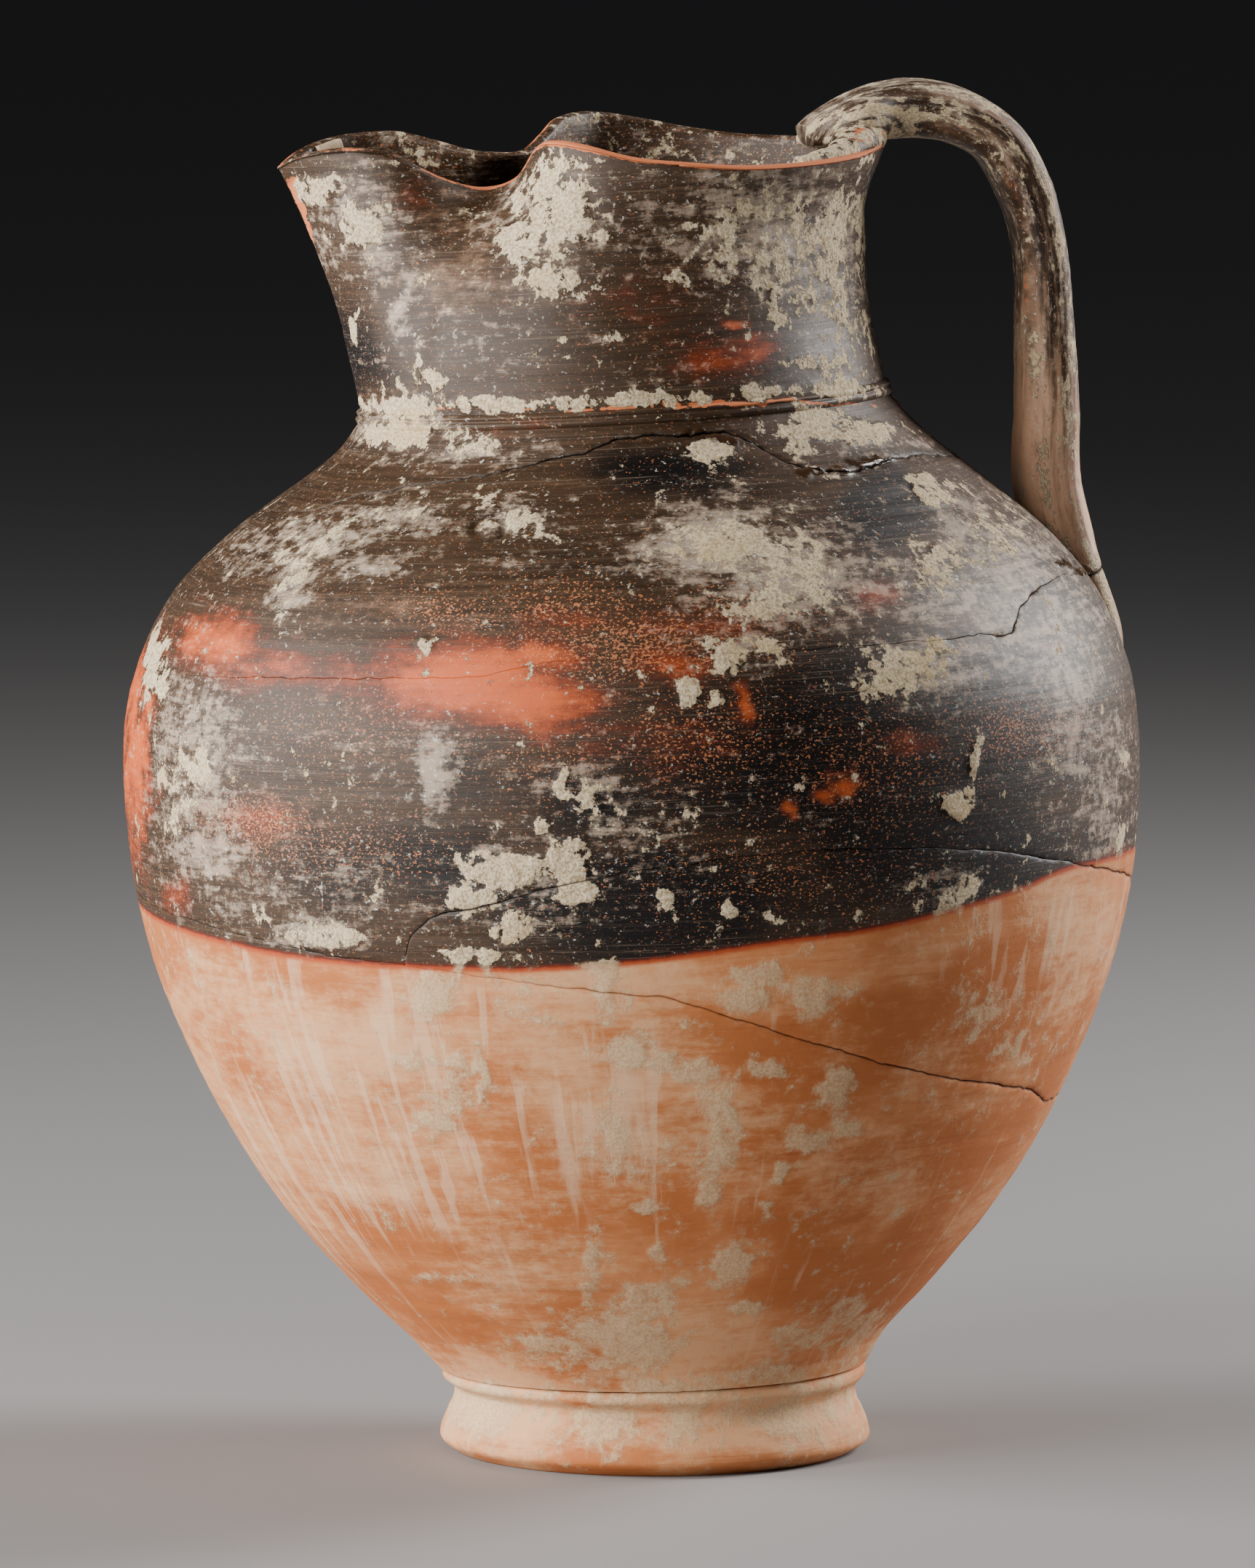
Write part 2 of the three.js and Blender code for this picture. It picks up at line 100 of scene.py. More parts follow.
# The body's outline under and over the belly: shares of the way up, and out to the belly
LOWER_WALL = [
    (0.055, 0.084), (0.115, 0.207), (0.175, 0.32), (0.235, 0.427), (0.325, 0.564), (0.43, 0.691),
    (0.55, 0.809), (0.67, 0.902), (0.79, 0.963), (0.895, 0.99),
]
UPPER_WALL = [
    (0.153, 0.987), (0.255, 0.957), (0.357, 0.904), (0.459, 0.828), (0.561, 0.717), (0.663, 0.56),
    (0.765, 0.373), (0.842, 0.222), (0.906, 0.111), (0.957, 0.048),
]
# The lip, from its back: share of the mouth's length, then half width and rise, near and far
LIP = [
    (0.045, 0.42, -0.026, 0.44, 0.007), (0.13, 0.71, -0.037, 0.74, 0.017), (0.232, 0.9, -0.03, 0.93, 0.035),
    (0.33, 0.98, 0, 1, 0.078), (0.411, 0.98, 0.03, 0.98, 0.127), (0.491, 0.92, 0.086, 0.9, 0.164),
    (0.546, 0.77, 0.11, 0.72, 0.151), (0.572, 0.6, 0.09, 0.56, 0.097), (0.608, 0.4, -0.032, 0.38, 0.037),
    (0.648, 0.32, -0.076, 0.33, 0.041), (0.68, 0.35, -0.067, 0.35, 0.056),
    (0.742, 0.43, -0.002, 0.43, 0.104), (0.803, 0.46, 0.084, 0.46, 0.144), (0.86, 0.44, 0.114, 0.44, 0.149),
    (0.91, 0.37, 0.116, 0.37, 0.142), (0.965, 0.22, 0.093, 0.22, 0.108),
]
# The strap: shares of its reach, its drop, its thickness and its near and far half widths
STRAP = [
    (-0.36, 0.052, 0.45, 0.7, 0.9), (-0.24, 0.038, 0.72, 1.3, 1.2), (-0.053, 0.021, 0.99, 1.5, 1.2),
    (0.133, 0.01, 1.12, 1.15, 1.05), (0.32, 0.011, 1.15, 1, 1), (0.532, 0.031, 1.1, 1, 1),
    (0.753, 0.084, 1.03, 1, 1), (0.886, 0.17, 1.03, 1, 1), (0.971, 0.282, 0.96, 1, 1),
    (0.992, 0.42, 1.01, 1, 1), (0.947, 0.58, 1.13, 1, 1), (0.936, 0.73, 1.22, 1, 1),
    (0.965, 0.83, 1.25, 1, 1),
]

# Lines round the pot: degrees from +X (the camera's side is -90) and heights over the ground
SHOULDER_MEND = [
    (-180, 210.4), (-151, 212.7), (-143, 216.3), (-129, 218.8), (-117, 220.3), (-107, 222.9), (-98, 224.1),
    (-92, 226.6), (-85, 227.3), (-76, 226.2), (-69, 226.8), (-64, 224.1), (-59, 219.9), (-53, 217.1),
    (-48, 216.7), (-37, 217.8), (-24, 218.2), (5, 214.4), (40, 217.4), (85, 211.9), (130, 214.9),
]
HAIRLINE_MEND = [
    (-180, 177), (-150, 178.5), (-123, 180), (-116, 179.7), (-109, 180.2), (-105, 181.1), (-98, 183.3),
    (-70, 183.4), (-44, 183), (-40, 182.3), (-38, 182.8), (-36, 185.3), (-34, 187.9), (-29, 190.2),
    (-20, 191.8), (5, 189.5), (60, 185), (110, 179.5), (150, 182),
]
BELLY_MEND = [
    (-117, 120.6), (-116, 125.1), (-113, 129.6), (-106, 132.6), (-100, 135.4), (-94, 137.8), (-88, 139.2),
    (-79, 140.8), (-69, 141.4), (-55, 139.6), (-44, 136.8), (-38, 134.1), (-25, 129.8), (-12, 125.4),
    (25, 114), (62, 105), (92, 97),
]
BASE_MEND = [
    (-180, 128.5), (-162, 127), (-145, 124.7), (-129, 121.1), (-113, 118.3), (-100, 114.6), (-87, 111.5),
    (-80, 106.9), (-73, 102.1), (-66, 97.5), (-58, 92.7), (-44, 86.6), (-28, 81.7), (-18, 76.9), (15, 75),
    (55, 84), (92, 96.5), (125, 113), (155, 125),
]
SLIP_EDGE = [
    (-180, 126), (-166, 124.7), (-151, 122.9), (-136, 120.6), (-124, 119.3), (-114, 118.9), (-104, 118.3),
    (-91, 119.3), (-82, 120.8), (-73, 122.4), (-64, 123.3), (-58, 124.4), (-48, 126.8), (-40, 128.7),
    (-36, 130.4), (-31, 131.1), (-12, 130.5), (20, 127), (60, 123), (100, 126), (140, 128),
]

# Camera
CAMERA_PITCH = math.radians(5.5)
CAMERA_AT = np.array([-6.0, -2541.2, 391.3])
CAMERA_LENS = 267.2
SENSOR = 36.0
LOOK_DISTANCE = 2553.0
LOOK_AT = np.array([-6.0, 0.0, 146.6])

# Marks on the photographed side: right, up, half width, half height, strength in percent.
# At its half width or half height a mark has half its strength.
CRUST = [
    (-74, 277, 4.5, 3.5, 95), (-65, 269, 6, 5, 80), (-60, 283, 3, 1.5, 60), (-22, 272, 9, 10, 95),
    (-19, 283, 6.5, 3, 80), (-21, 257, 7, 4, 85), (-30, 266, 5, 4, 85), (-11, 267, 2.5, 1.5, 80),
    (-8, 246, 3.5, 1.2, 70), (-19, 245, 2, 0.8, 60), (5.6, 258, 2.5, 1.6, 80), (9.6, 268, 4, 2.4, 75),
    (27, 267, 14, 12, 50), (22, 271, 6, 5, 70), (39, 266, 8, 14, 62), (32, 253, 10, 6.5, 50),
    (43, 246, 4.5, 9, 60), (37, 239, 7, 2, 60), (-65.4, 247, 1, 4, 110), (-59, 235, 3, 2.5, 75),
    (-51, 235, 4, 3, 85), (43, 287, 6, 4, 80), (-57, 229.5, 9, 2.2, 110), (-37, 230, 13, 1.5, 100),
    (-20, 230.5, 9, 1.4, 85), (-3, 231, 8, 1.6, 100), (10, 231, 9, 1.2, 75), (24, 232, 9, 1.2, 70),
    (40, 233, 8, 2, 80), (-56, 224, 9.6, 3, 90), (-40, 221, 12, 2, 50), (35, 225, 6.5, 4, 100),
    (46, 224, 6, 3, 85), (60, 211, 4, 3.2, 100), (12, 220.3, 5.5, 1.8, 115), (-30, 205, 5, 3, 80),
    (-36, 207.5, 5, 2, 70), (-26, 201, 3.5, 1.8, 60), (-56, 205, 9, 3, 55), (-73, 200, 8, 3.5, 50),
    (-81, 192, 3.5, 7, 50), (14, 199, 12, 5.5, 78), (30, 192, 11, 7, 90), (19, 186, 8, 5, 65),
    (63, 196, 8, 6, 60), (60, 192, 8, 6, 50), (75, 202, 8, 6, 45), (16, 175, 6.4, 4, 100),
    (25.5, 175.5, 5, 3.5, 80), (7, 167, 3.2, 2.4, 95), (12.8, 165.4, 2.4, 1.6, 85), (56, 172, 8, 5, 85),
    (50, 168, 5, 3, 70), (62, 176, 6, 3, 60), (-109, 172, 2.6, 9, 85), (-100.5, 149.5, 2.4, 5, 110),
    (-104.5, 146, 6, 9, 50), (-50.8, 176.8, 1.7, 1.7, 120), (-20.7, 148, 2.4, 4, 90),
    (-16, 144.5, 5, 4.5, 70), (-11, 141.5, 3, 3, 65), (-25.5, 137.5, 2.4, 1.3, 85),
    (-1.6, 136.7, 3.2, 2, 60), (-33.5, 128, 9.6, 4.6, 115), (-20.7, 130.5, 7, 4.8, 105),
    (-40, 121.5, 6.5, 3, 105), (-32, 114.5, 4.8, 3.2, 90), (-17.5, 123, 4.8, 3.2, 95),
    (-44.7, 109, 3.2, 1.6, 85), (-37, 108.8, 3, 1.6, 75), (-73.4, 113.6, 7.2, 2.9, 95),
    (-85, 117.5, 6.4, 2.6, 55), (2.4, 120.7, 1.9, 3.2, 85), (14.8, 119.2, 1.6, 2, 100),
    (26, 116.8, 3.2, 1.3, 85), (65.5, 123, 6.5, 4, 50), (66.3, 141.8, 3, 3, 105), (70.2, 152.6, 1, 4, 110),
    (101.3, 152.6, 1, 1.8, 100), (102, 135, 1.2, 3.5, 80), (-48, 101, 4.8, 4.8, 105), (-10, 100, 5, 5, 50),
    (-11, 105.6, 4, 2, 85), (-56, 86.4, 3.2, 2, 75), (-44.7, 82.4, 2.4, 6.4, 75), (-48.7, 73, 4, 4.8, 50),
    (-38.3, 80.8, 1.3, 5.6, 90), (-6, 87, 5.5, 3.6, 95), (1.6, 85.6, 6, 1.9, 75), (9.6, 84, 4.4, 3, 95),
    (25.5, 84, 4.8, 1.9, 85), (19, 99.2, 7, 1.9, 95), (20, 105, 6, 2.2, 70), (36, 100, 5.6, 4, 80),
    (40, 80, 3.2, 4.8, 90), (43, 71.3, 2.4, 1, 100), (33.5, 69, 4, 3.2, 85), (14.4, 68, 4.6, 7.5, 80),
    (26.3, 61, 1.6, 1.6, 90), (12.8, 57, 3.2, 3.2, 75), (24, 53.7, 2.4, 1.6, 70), (-8, 66.5, 9, 6, 50),
    (72, 98, 10, 6, 42), (80, 88, 6, 5, 40), (-1.6, 54, 5, 1.6, 85), (0, 9, 36, 6, 50),
    (-38, 9.8, 7.5, 5, 115), (-11, 7.4, 8.8, 4, 95), (6.4, 6, 9.6, 3.2, 65), (28.7, 8.2, 8, 4.8, 85),
    (40, 12, 4.8, 4.8, 60), (0, 13.4, 8, 1.8, 95), (22.4, 15.6, 9.6, 2.8, 65), (-7, 24.5, 12, 6.5, 80),
    (-18, 23, 10, 5, 50), (-1.6, 33, 5.6, 4.6, 85), (-14.3, 39.4, 3, 8, 62), (0.8, 43.3, 2.4, 2.4, 85),
    (17.6, 41, 4, 5.6, 95), (20, 31.4, 3.2, 1.5, 110), (41, 27, 12, 7, 55), (30, 25, 6.5, 2.4, 60),
    (-48, 38.6, 6.4, 1.6, 55),
]
HAZE = [
    (27, 268, 22, 14, 85), (42, 255, 9, 22, 55), (0, 270, 14, 12, 50), (-22, 268, 16, 14, 60),
    (-55, 252, 2.4, 8, 90), (-64, 270, 12, 12, 60), (-40, 243, 24, 8, 30), (8, 236, 22, 5, 30),
    (-56, 205, 11, 4.5, 90), (-73, 200, 10, 5, 85), (-81, 192, 5, 9, 80), (-62, 195, 10, 3.2, 70),
    (-40, 220, 14, 3, 70), (-90, 198, 8, 6, 60), (-30, 206, 9, 5, 70), (-20, 196, 16, 4, 35),
    (11, 199, 15, 7.5, 115), (30, 191, 18, 10, 100), (62, 190, 15, 9, 70), (69, 203, 9, 8, 75),
    (76, 196, 15, 13, 80), (78, 180, 13, 12, 60), (60, 172, 12, 7, 85), (20, 176, 12, 5, 70),
    (90, 170, 8, 22, 80), (98, 145, 7, 24, 60), (-100, 150, 10, 22, 80), (-98, 133, 10, 9, 80),
    (-76, 124, 22, 9, 50), (-75, 114, 9, 4, 90), (-47.9, 149, 3.6, 8, 110), (-14, 148, 12, 5, 50),
    (-30, 124, 18, 12, 60), (-5, 138, 12, 5, 50), (65, 124, 8, 5, 60), (-66, 150, 24, 10, 30),
    (8, 128, 12, 6, 35), (46, 221, 12, 4, 50), (-55, 226, 12, 5, 80),
]
ORANGE = [
    (-41, 169.5, 19, 7.5, 120), (-28, 165, 14, 6.5, 110), (-26, 174.5, 11, 3, 95), (-96, 178, 9, 5.5, 100),
    (-86, 172, 13, 6, 60), (-65, 170, 10, 5, 55), (-114, 158, 3, 26, 110), (4, 173, 11, 5, 60),
    (-88, 139, 10, 5, 55), (12, 182, 18, 4.5, 50), (19.2, 164, 2.2, 4.8, 80), (41.5, 146.5, 3, 2.6, 90),
    (37.5, 143.8, 2.2, 1.8, 80), (30.3, 141.5, 1.6, 2.2, 75), (56, 155.5, 8, 3.4, 55),
    (48, 188, 6.5, 4, 60), (13, 239, 10, 4, 60), (21, 242, 8, 3.5, 65), (17.6, 247.6, 3, 0.8, 90),
    (0, 253, 14, 9, 30), (-54, 275.5, 6, 4.5, 45), (102, 127, 5, 5, 80), (86, 178, 5, 8, 40),
    (-20, 182, 12, 4, 35), (-30, 225, 12, 3, 30), (-5, 158, 30, 10, 30), (-105, 122, 4, 4, 50),
]
BLACK = [
    (37, 148, 42, 22, 100), (60, 132, 36, 14, 100), (2, 124, 34, 14, 100), (-14, 140, 20, 12, 80),
    (-44, 130, 20, 12, 70), (-74, 126, 22, 12, 55), (2, 216, 18, 7, 80), (50, 207, 9, 8, 110),
    (76, 158, 20, 20, 80), (-66, 240, 9, 10, 80), (20, 240, 16, 7, 50), (-44, 146, 14, 8, 60),
    (-16, 195, 20, 8, 40), (-50, 155, 26, 6, 40),
]
FLECKS = [
    (-45, 184.5, 11, 4, 90), (-5, 177, 26, 7, 110), (-88, 138, 11, 5.5, 110), (8, 158, 20, 11, 70),
    (50, 150, 26, 14, 60), (81, 159, 13, 7, 90), (-66, 158, 22, 8, 50), (-72, 133, 26, 8, 60),
    (30, 128, 34, 10, 50), (-20, 186, 18, 5, 80), (20, 185, 16, 5, 80), (-24, 152, 16, 6, 50),
]
# Pale film on the bare clay. Its rows low on the foot are partly painted light, strongest on the lit left
WASH_AND_LIGHT = [
    (-70, 86, 26, 20, 65), (-48, 78, 20, 20, 60), (-22, 88, 16, 14, 70), (-14, 103, 30, 6, 55),
    (-2, 90, 14, 20, 70), (-48, 101, 12, 6, 80), (30, 99, 22, 8, 40), (68, 104, 22, 12, 30),
    (90, 112, 8, 18, 70), (-96, 104, 12, 16, 60), (14, 70, 18, 14, 75), (-10, 66, 18, 14, 85),
    (-30, 44, 16, 14, 60), (-2, 24, 24, 8, 85), (8, 10, 30, 8, 90), (-36, 10, 20, 11, 120),
    (30, 10, 20, 8, 80), (0, 4, 40, 4, 80), (44, 62, 22, 14, 50), (62, 84, 18, 12, 45),
    (38, 88, 16, 12, 50), (-60, 60, 14, 10, 60),
]
TAN = [
    (-42, 257, 18, 8, 30), (-18, 252, 14, 7, 20), (-60, 187, 26, 8, 20), (-66, 160, 24, 9, 20),
    (-30, 213, 22, 4, 20), (-48, 272, 8, 6, 20), (66, 182, 16, 8, 30), (-80, 140, 16, 12, 20),
]
DRIPS = [
    (-54, 74, 30, 26, 110), (-14, 86, 15, 22, 70), (-82, 104, 12, 16, 60), (78, 112, 20, 14, 50),
]
CHIPS = [(-79.5, 276, 2.2, 3.6, 120), (-77, 271, 2, 3.2, 120), (-75, 267.5, 1.2, 1.8, 100)]
WORN = [*CHIPS, (-22, 229.3, 40, 0.5, 80), (22, 229.8, 26, 0.5, 90)]
GLUE = [
    (10.5, 223.6, 1.7, 1.1, 100), (13.5, 222.8, 1.6, 1.2, 100), (16.5, 222.6, 1.4, 0.8, 80),
    (7, 223.8, 1.6, 0.7, 70), (34, 215.4, 3, 0.9, 90), (40, 215.2, 3.4, 1.1, 90), (46, 217, 4, 0.8, 90),
    (51, 218, 3, 0.7, 80), (90, 194.8, 2.4, 1, 90), (95, 193.2, 3, 1, 90), (0, 222.6, 5, 0.6, 50),
    (-8, 221, 5, 0.5, 40),
]
# A rough ring mark: right, up, radius
RING = (-36.4, 203.0, 3.4)
# How much each mend shows, by degrees from +X: how deep it dips, and how dark its seam is painted, partly
# as a dark joint and partly as painted shade in the gap
SHOULDER_SHOW = [
    (-180, 0.6), (-150, 0.7), (-130, 0.9), (-110, 1.0), (-95, 1.3), (-60, 1.4), (-40, 1.1), (0, 0.8),
]
HAIRLINE_SHOW = [(-180, 0.05), (-43, 0.05), (-41, 0.8), (-30, 0.8), (-24, 0.1), (180, 0.05)]
BELLY_SHOW = [(-117, 0.6), (-108, 0.9), (-90, 0.5), (-60, 0.5), (-40, 0.9), (-10, 1.1), (92, 0.7)]
BASE_SHOW = [
    (-180, 0.4), (-150, 0.25), (-113, 0.3), (-95, 0.6), (-50, 0.8), (-20, 1.1), (30, 0.8), (155, 0.4),
]


# Noise

HASH_AXES = (73856093, 19349663, 83492791)
HASH_SEED = 2654435761
HASH_STEPS = ((15, 2246822519), (13, 3266489917))
HASH_MASK = np.uint64(0xFFFFFFFF)


def scrambled(cells, seed):
    """A fixed random number from 0 to 1 for each cell of a grid."""
    h = np.uint64(seed * HASH_SEED)
    for k, factor in enumerate(HASH_AXES):
        h = h ^ cells[..., k].astype(np.uint64) * np.uint64(factor)
    h = h & HASH_MASK
    for shift, factor in HASH_STEPS:
        h = ((h ^ (h >> np.uint64(shift))) * np.uint64(factor)) & HASH_MASK
    return (h ^ (h >> np.uint64(16))).astype(float) / float(HASH_MASK)


def bumps(points, size, seed):
    """Smooth noise from -1 to 1 with bumps of about this size."""
    at = points / size + 1000
    low = np.floor(at).astype(np.int64)
    t = at - low
    t = t * t * (3 - 2 * t)
    total = np.zeros(points.shape[:-1])
    for corner in range(8):
        step = np.array([corner & 1, corner >> 1 & 1, corner >> 2 & 1])
        share = np.prod(np.where(step == 1, t, 1 - t), axis=-1)
        total += share * scrambled(low + step, seed)
    return total * 2 - 1


def cloud(points, size, layers, seed, keep=0.6):
    """Several layers of noise, each of half the size of the one before."""
    turn = np.array([(0.8, 0.6, 0), (-0.48, 0.64, 0.6), (0.36, -0.48, 0.8)])
    total, weight, share = 0, 0, 1
    for layer in range(layers):
        total = total + share * bumps(points, size, seed + layer)
        weight += share
        share *= keep
        size /= 2
        points = points @ turn
    return total / weight * 1.6


def smooth(value, low, high):
    """A rise from 0 at low to 1 at high."""
    t = np.clip((value - low) / (high - low), 0, 1)
    return t * t * (3 - 2 * t)


def peak(value, width):
    """A bell of height 1 round 0."""
    return np.exp(-((value / width) ** 2))


# Curves and the lean

WALL_POINTS = 1200


def unit(vectors):
    return vectors / np.linalg.norm(vectors, axis=-1, keepdims=True)


def lengths(path):
    """How far along a path each of its points is."""
    return np.concatenate([[0], np.cumsum(np.linalg.norm(np.diff(path, axis=0), axis=1))])


def through(points, count, closed=False, power=0.0):
    """A curve through points, even in its parameter, or following their spacing to this power."""
    points = np.asarray(points, float)
    size = len(points)
    spans = size if closed else size - 1
    at = np.linspace(0, spans, count, endpoint=not closed)
    low = np.minimum(at.astype(int), spans - 1)
    t = (at - low)[:, None]

    def pick(k):
        return points[(low + k) % size] if closed else points[np.clip(low + k, 0, size - 1)]

    def length(a, b):
        return np.maximum(np.linalg.norm(b - a, axis=1, keepdims=True), 1e-4) ** power

    p0, p1, p2, p3 = (pick(k) for k in (-1, 0, 1, 2))
    d0, d1, d2 = length(p0, p1), length(p1, p2), length(p2, p3)
    m1 = ((p1 - p0) / d0 - (p2 - p0) / (d0 + d1) + (p2 - p1) / d1) * d1
    m2 = ((p2 - p1) / d1 - (p3 - p1) / (d1 + d2) + (p3 - p2) / d2) * d1
    ends = (2 * t**3 - 3 * t**2 + 1) * p1 + (3 * t**2 - 2 * t**3) * p2
    return ends + (t**3 - 2 * t**2 + t) * m1 + (t**3 - t**2) * m2


def tilt(height):
    return np.radians(np.interp(height / NECK_JOIN, LEAN[:, 0], LEAN[:, 1]))


SPINE_STEPS = np.arange(0, 560)
SPINE_X = np.concatenate([[0], np.cumsum(-np.sin(tilt(SPINE_STEPS[:-1] + 0.5)))])
SPINE_Z = np.concatenate([[0], np.cumsum(np.cos(tilt(SPINE_STEPS[:-1] + 0.5)))])


def lean(points):
    """Points of the upright pot, moved to where they are on the leaning pot."""
    x, y, height = points[..., 0], points[..., 1], points[..., 2]
    angle = tilt(height)
    centre = np.interp(height, SPINE_STEPS, SPINE_X)
    centre = centre + np.interp(height / NECK_JOIN, LEAN[:, 0], LEAN[:, 2])
    level = np.interp(height, SPINE_STEPS, SPINE_Z)
    return np.stack([centre + x * np.cos(angle), y, level + x * np.sin(angle)], axis=-1)


def seen(points):
    """Where the camera sees leaned points: right and up, in millimetres at the pot's axis."""
    ahead = np.array([0, math.cos(CAMERA_PITCH), -math.sin(CAMERA_PITCH)])
    up = np.array([0, math.sin(CAMERA_PITCH), math.cos(CAMERA_PITCH)])
    from_camera = points - CAMERA_AT
    depth = from_camera @ ahead / LOOK_DISTANCE
    return LOOK_AT[0] + from_camera[..., 0] / depth, LOOK_AT[2] + from_camera @ up / depth


def wall_line():
    """The body's outline as radii and heights, from the foot to the neck."""
    first, last = (BODY_BASE_RADIUS, FOOT_HEIGHT), (NECK_RADIUS, NECK_JOIN)
    belly = (BELLY_RADIUS, BELLY_HEIGHT)

    def between(shares, low, high, end):
        return [
            (end[0] + (BELLY_RADIUS - end[0]) * out, low[1] + (high[1] - low[1]) * up)
            for up, out in shares
        ]

    lower = between(LOWER_WALL, first, belly, first)
    upper = between(UPPER_WALL, belly, last, last)
    return through([first, *lower, belly, *upper, last], WALL_POINTS)


WALL_LINE = wall_line()
WALL_RUN = lengths(WALL_LINE)
WALL_WAY = unit(np.gradient(WALL_LINE, axis=0))


def wall_run(height):
    """How far along the wall's outline a height is."""
    return np.interp(height, WALL_LINE[:, 1], WALL_RUN)


def wall_radius(height):
    return np.interp(height, WALL_LINE[:, 1], WALL_LINE[:, 0])


def on_wall(angle, run, inward=0.0):
    """Points of the upright body at angles and places along the outline."""
    radius = np.interp(run, WALL_RUN, WALL_LINE[:, 0])
    height = np.interp(run, WALL_RUN, WALL_LINE[:, 1])
    radius = radius - inward * np.interp(run, WALL_RUN, WALL_WAY[:, 1])
    height = height + inward * np.interp(run, WALL_RUN, WALL_WAY[:, 0])
    return np.stack([radius * np.cos(angle), radius * np.sin(angle), height], axis=-1)


def line_at(line, angle):
    """A line's height at angles in radians."""
    line = np.array(line, float)
    return np.interp(np.degrees(angle), line[:, 0], line[:, 1], period=360)


# Marks

# The far side has the spots of the near side, moved, drawn together and a little weaker
FAR_SHIFT = 9.0
FAR_SPREAD = 0.93
FAR_STRENGTH = 0.9
# Noise that is longer along the wheel lines than across them
FLATTENED = np.array([1, 1, 2.2])
WANDER_ACROSS = 3.0
WANDER_UP = 1.5
CRUST_RAGGED = 0.4
CRUST_HEIGHT = 0.3
CRUST_RELIEF = 0.2
# Crusts are lower on bare clay, under the heights where the slip begins
CLAY_CRUST = 0.4
SLIP_START = (116, 128)
TURNING_DEPTH = 0.07
CHIP_DEPTH = 0.9
GLUE_HEIGHT = 0.5
RING_FLATNESS = 1.3
RING_WIDTH = 0.7
RING_DEPTH = 0.7
RING_SHADE = 0.6
# The spots of each value, how fast they fade, and the noise on them: strength, size, layers, seed
FIELDS = {
    "haze": (HAZE, 1.0, 0.12, 22.0, 3, 31),
    "orange": (ORANGE, 0.9, 0.1, 16.0, 3, 37),
    "black": (BLACK, 1.0, 0.15, 26.0, 3, 39),
    "flecks": (FLECKS, 1.0, 0.1, 18.0, 2, 41),
    "wash_and_light": (WASH_AND_LIGHT, 1.0, 0.1, 20.0, 3, 47),
    "drip": (DRIPS, 1.0, 0.2, 16.0, 3, 49),
    "tan": (TAN, 0.8, 0.1, 24.0, 3, 57),
    "worn": (WORN, 1.5, 0.1, 5.0, 2, 51),
}
FLAT_FIELDS = ("haze", "orange", "tan")
# The values inside the pot that aren't 0
INSIDE = {"haze": 0.35, "orange": 0.12, "black": 0.2, "flecks": 0.3}


def marks(spots, right, up, near, power=1.5):
    """The strongest of the spots at seen places, on the near side and on the far side."""
    sides = []
    for across, share in ((right, 1), (FAR_SHIFT - FAR_SPREAD * right, FAR_STRENGTH)):
        strongest = np.zeros(right.shape)
        for x, z, half_width, half_height, strength in spots:
            away = ((across - x) / half_width) ** 2 + ((up - z) / half_height) ** 2
            strongest = np.maximum(strongest, strength / 100 * share * 0.5 ** (away**power))
        sides.append(strongest)
    shown, hidden = sides
    return hidden + (shown - hidden) * near


def grid_normals(grid):
    """Outward normals of a grid of rows from bottom to top and columns round the axis."""
    across = np.roll(grid, -1, axis=1) - np.roll(grid, 1, axis=1)
    normal = np.cross(across, np.gradient(grid, axis=0))
    return normal / np.maximum(np.linalg.norm(normal, axis=-1, keepdims=True), 1e-9)


def weather(grid, normals, groove=0.0):
    """Marks of a weathered outside, with painted shade along seams and the ring mark: the values its
    material reads, and its relief in millimetres.
    """
    right, up = seen(lean(grid))
    near = smooth(-normals[..., 1], -0.12, 0.12)
    x, z, radius = RING
    from_ring = np.hypot(right - x, (up - z) * RING_FLATNESS) - radius
    ring = peak(from_ring, RING_WIDTH) * near
    flat = grid * FLATTENED
    right = right + WANDER_ACROSS * cloud(grid, 9.0, 4, 7, 0.7)
    up = up + WANDER_UP * cloud(flat, 9.0, 4, 9, 0.7)
    crust = marks(CRUST, right, up, near) + CRUST_RAGGED * cloud(grid, 6.0, 3, 11, 0.7)
    # Painted shade: the ring mark and the mends' grooves are painted darker, partly as a dark joint
    crust = crust - RING_SHADE * ring
    shadow = np.maximum(np.zeros(crust.shape) + groove, RING_SHADE * ring)
    glue = marks(GLUE, right, up, near)
    fields = {"crust": crust - 0.3 * shadow, "glue": glue, "groove": shadow}
    for key, (spots, power, strength, size, layers, seed) in FIELDS.items():
        noise = cloud(flat if key in FLAT_FIELDS else grid, size, layers, seed)
        fields[key] = marks(spots, right, up, near, power) + strength * noise
    thick = smooth(crust, 0.42, 0.8) * (CRUST_HEIGHT + CRUST_RELIEF * cloud(grid, 2.6, 3, 61, 0.8))
    thick = thick * (CLAY_CRUST + (1 - CLAY_CRUST) * smooth(grid[..., 2], *SLIP_START))
    turning = TURNING_DEPTH * cloud(grid * np.array([0.04, 0.04, 1]), 2.2, 2, 71)
    chip = CHIP_DEPTH * smooth(marks(CHIPS, right, up, near), 0.4, 0.8)
    beads = GLUE_HEIGHT * smooth(glue, 0.25, 0.9)
    return fields, thick + turning + beads - chip - RING_DEPTH * ring


def with_inside(fields, inner):
    """The values of an outside, followed by those of its inside: slip with loose crusts."""
    inside = {key: np.full(inner.shape[:-1], INSIDE.get(key, 0.0)) for key in fields}
    inside["crust"] = 0.24 + 0.4 * cloud(inner, 8.0, 4, 91, 0.72)
    return {key: np.concatenate([fields[key], inside[key]]) for key in fields}


# Meshes

FLOW_RADIUS = 80
SLIP_LIMIT = 3.0


def placed(name, data):
    """A new object in the scene."""
    made = bpy.data.objects.new(name, data)
    bpy.context.scene.collection.objects.link(made)
    return made


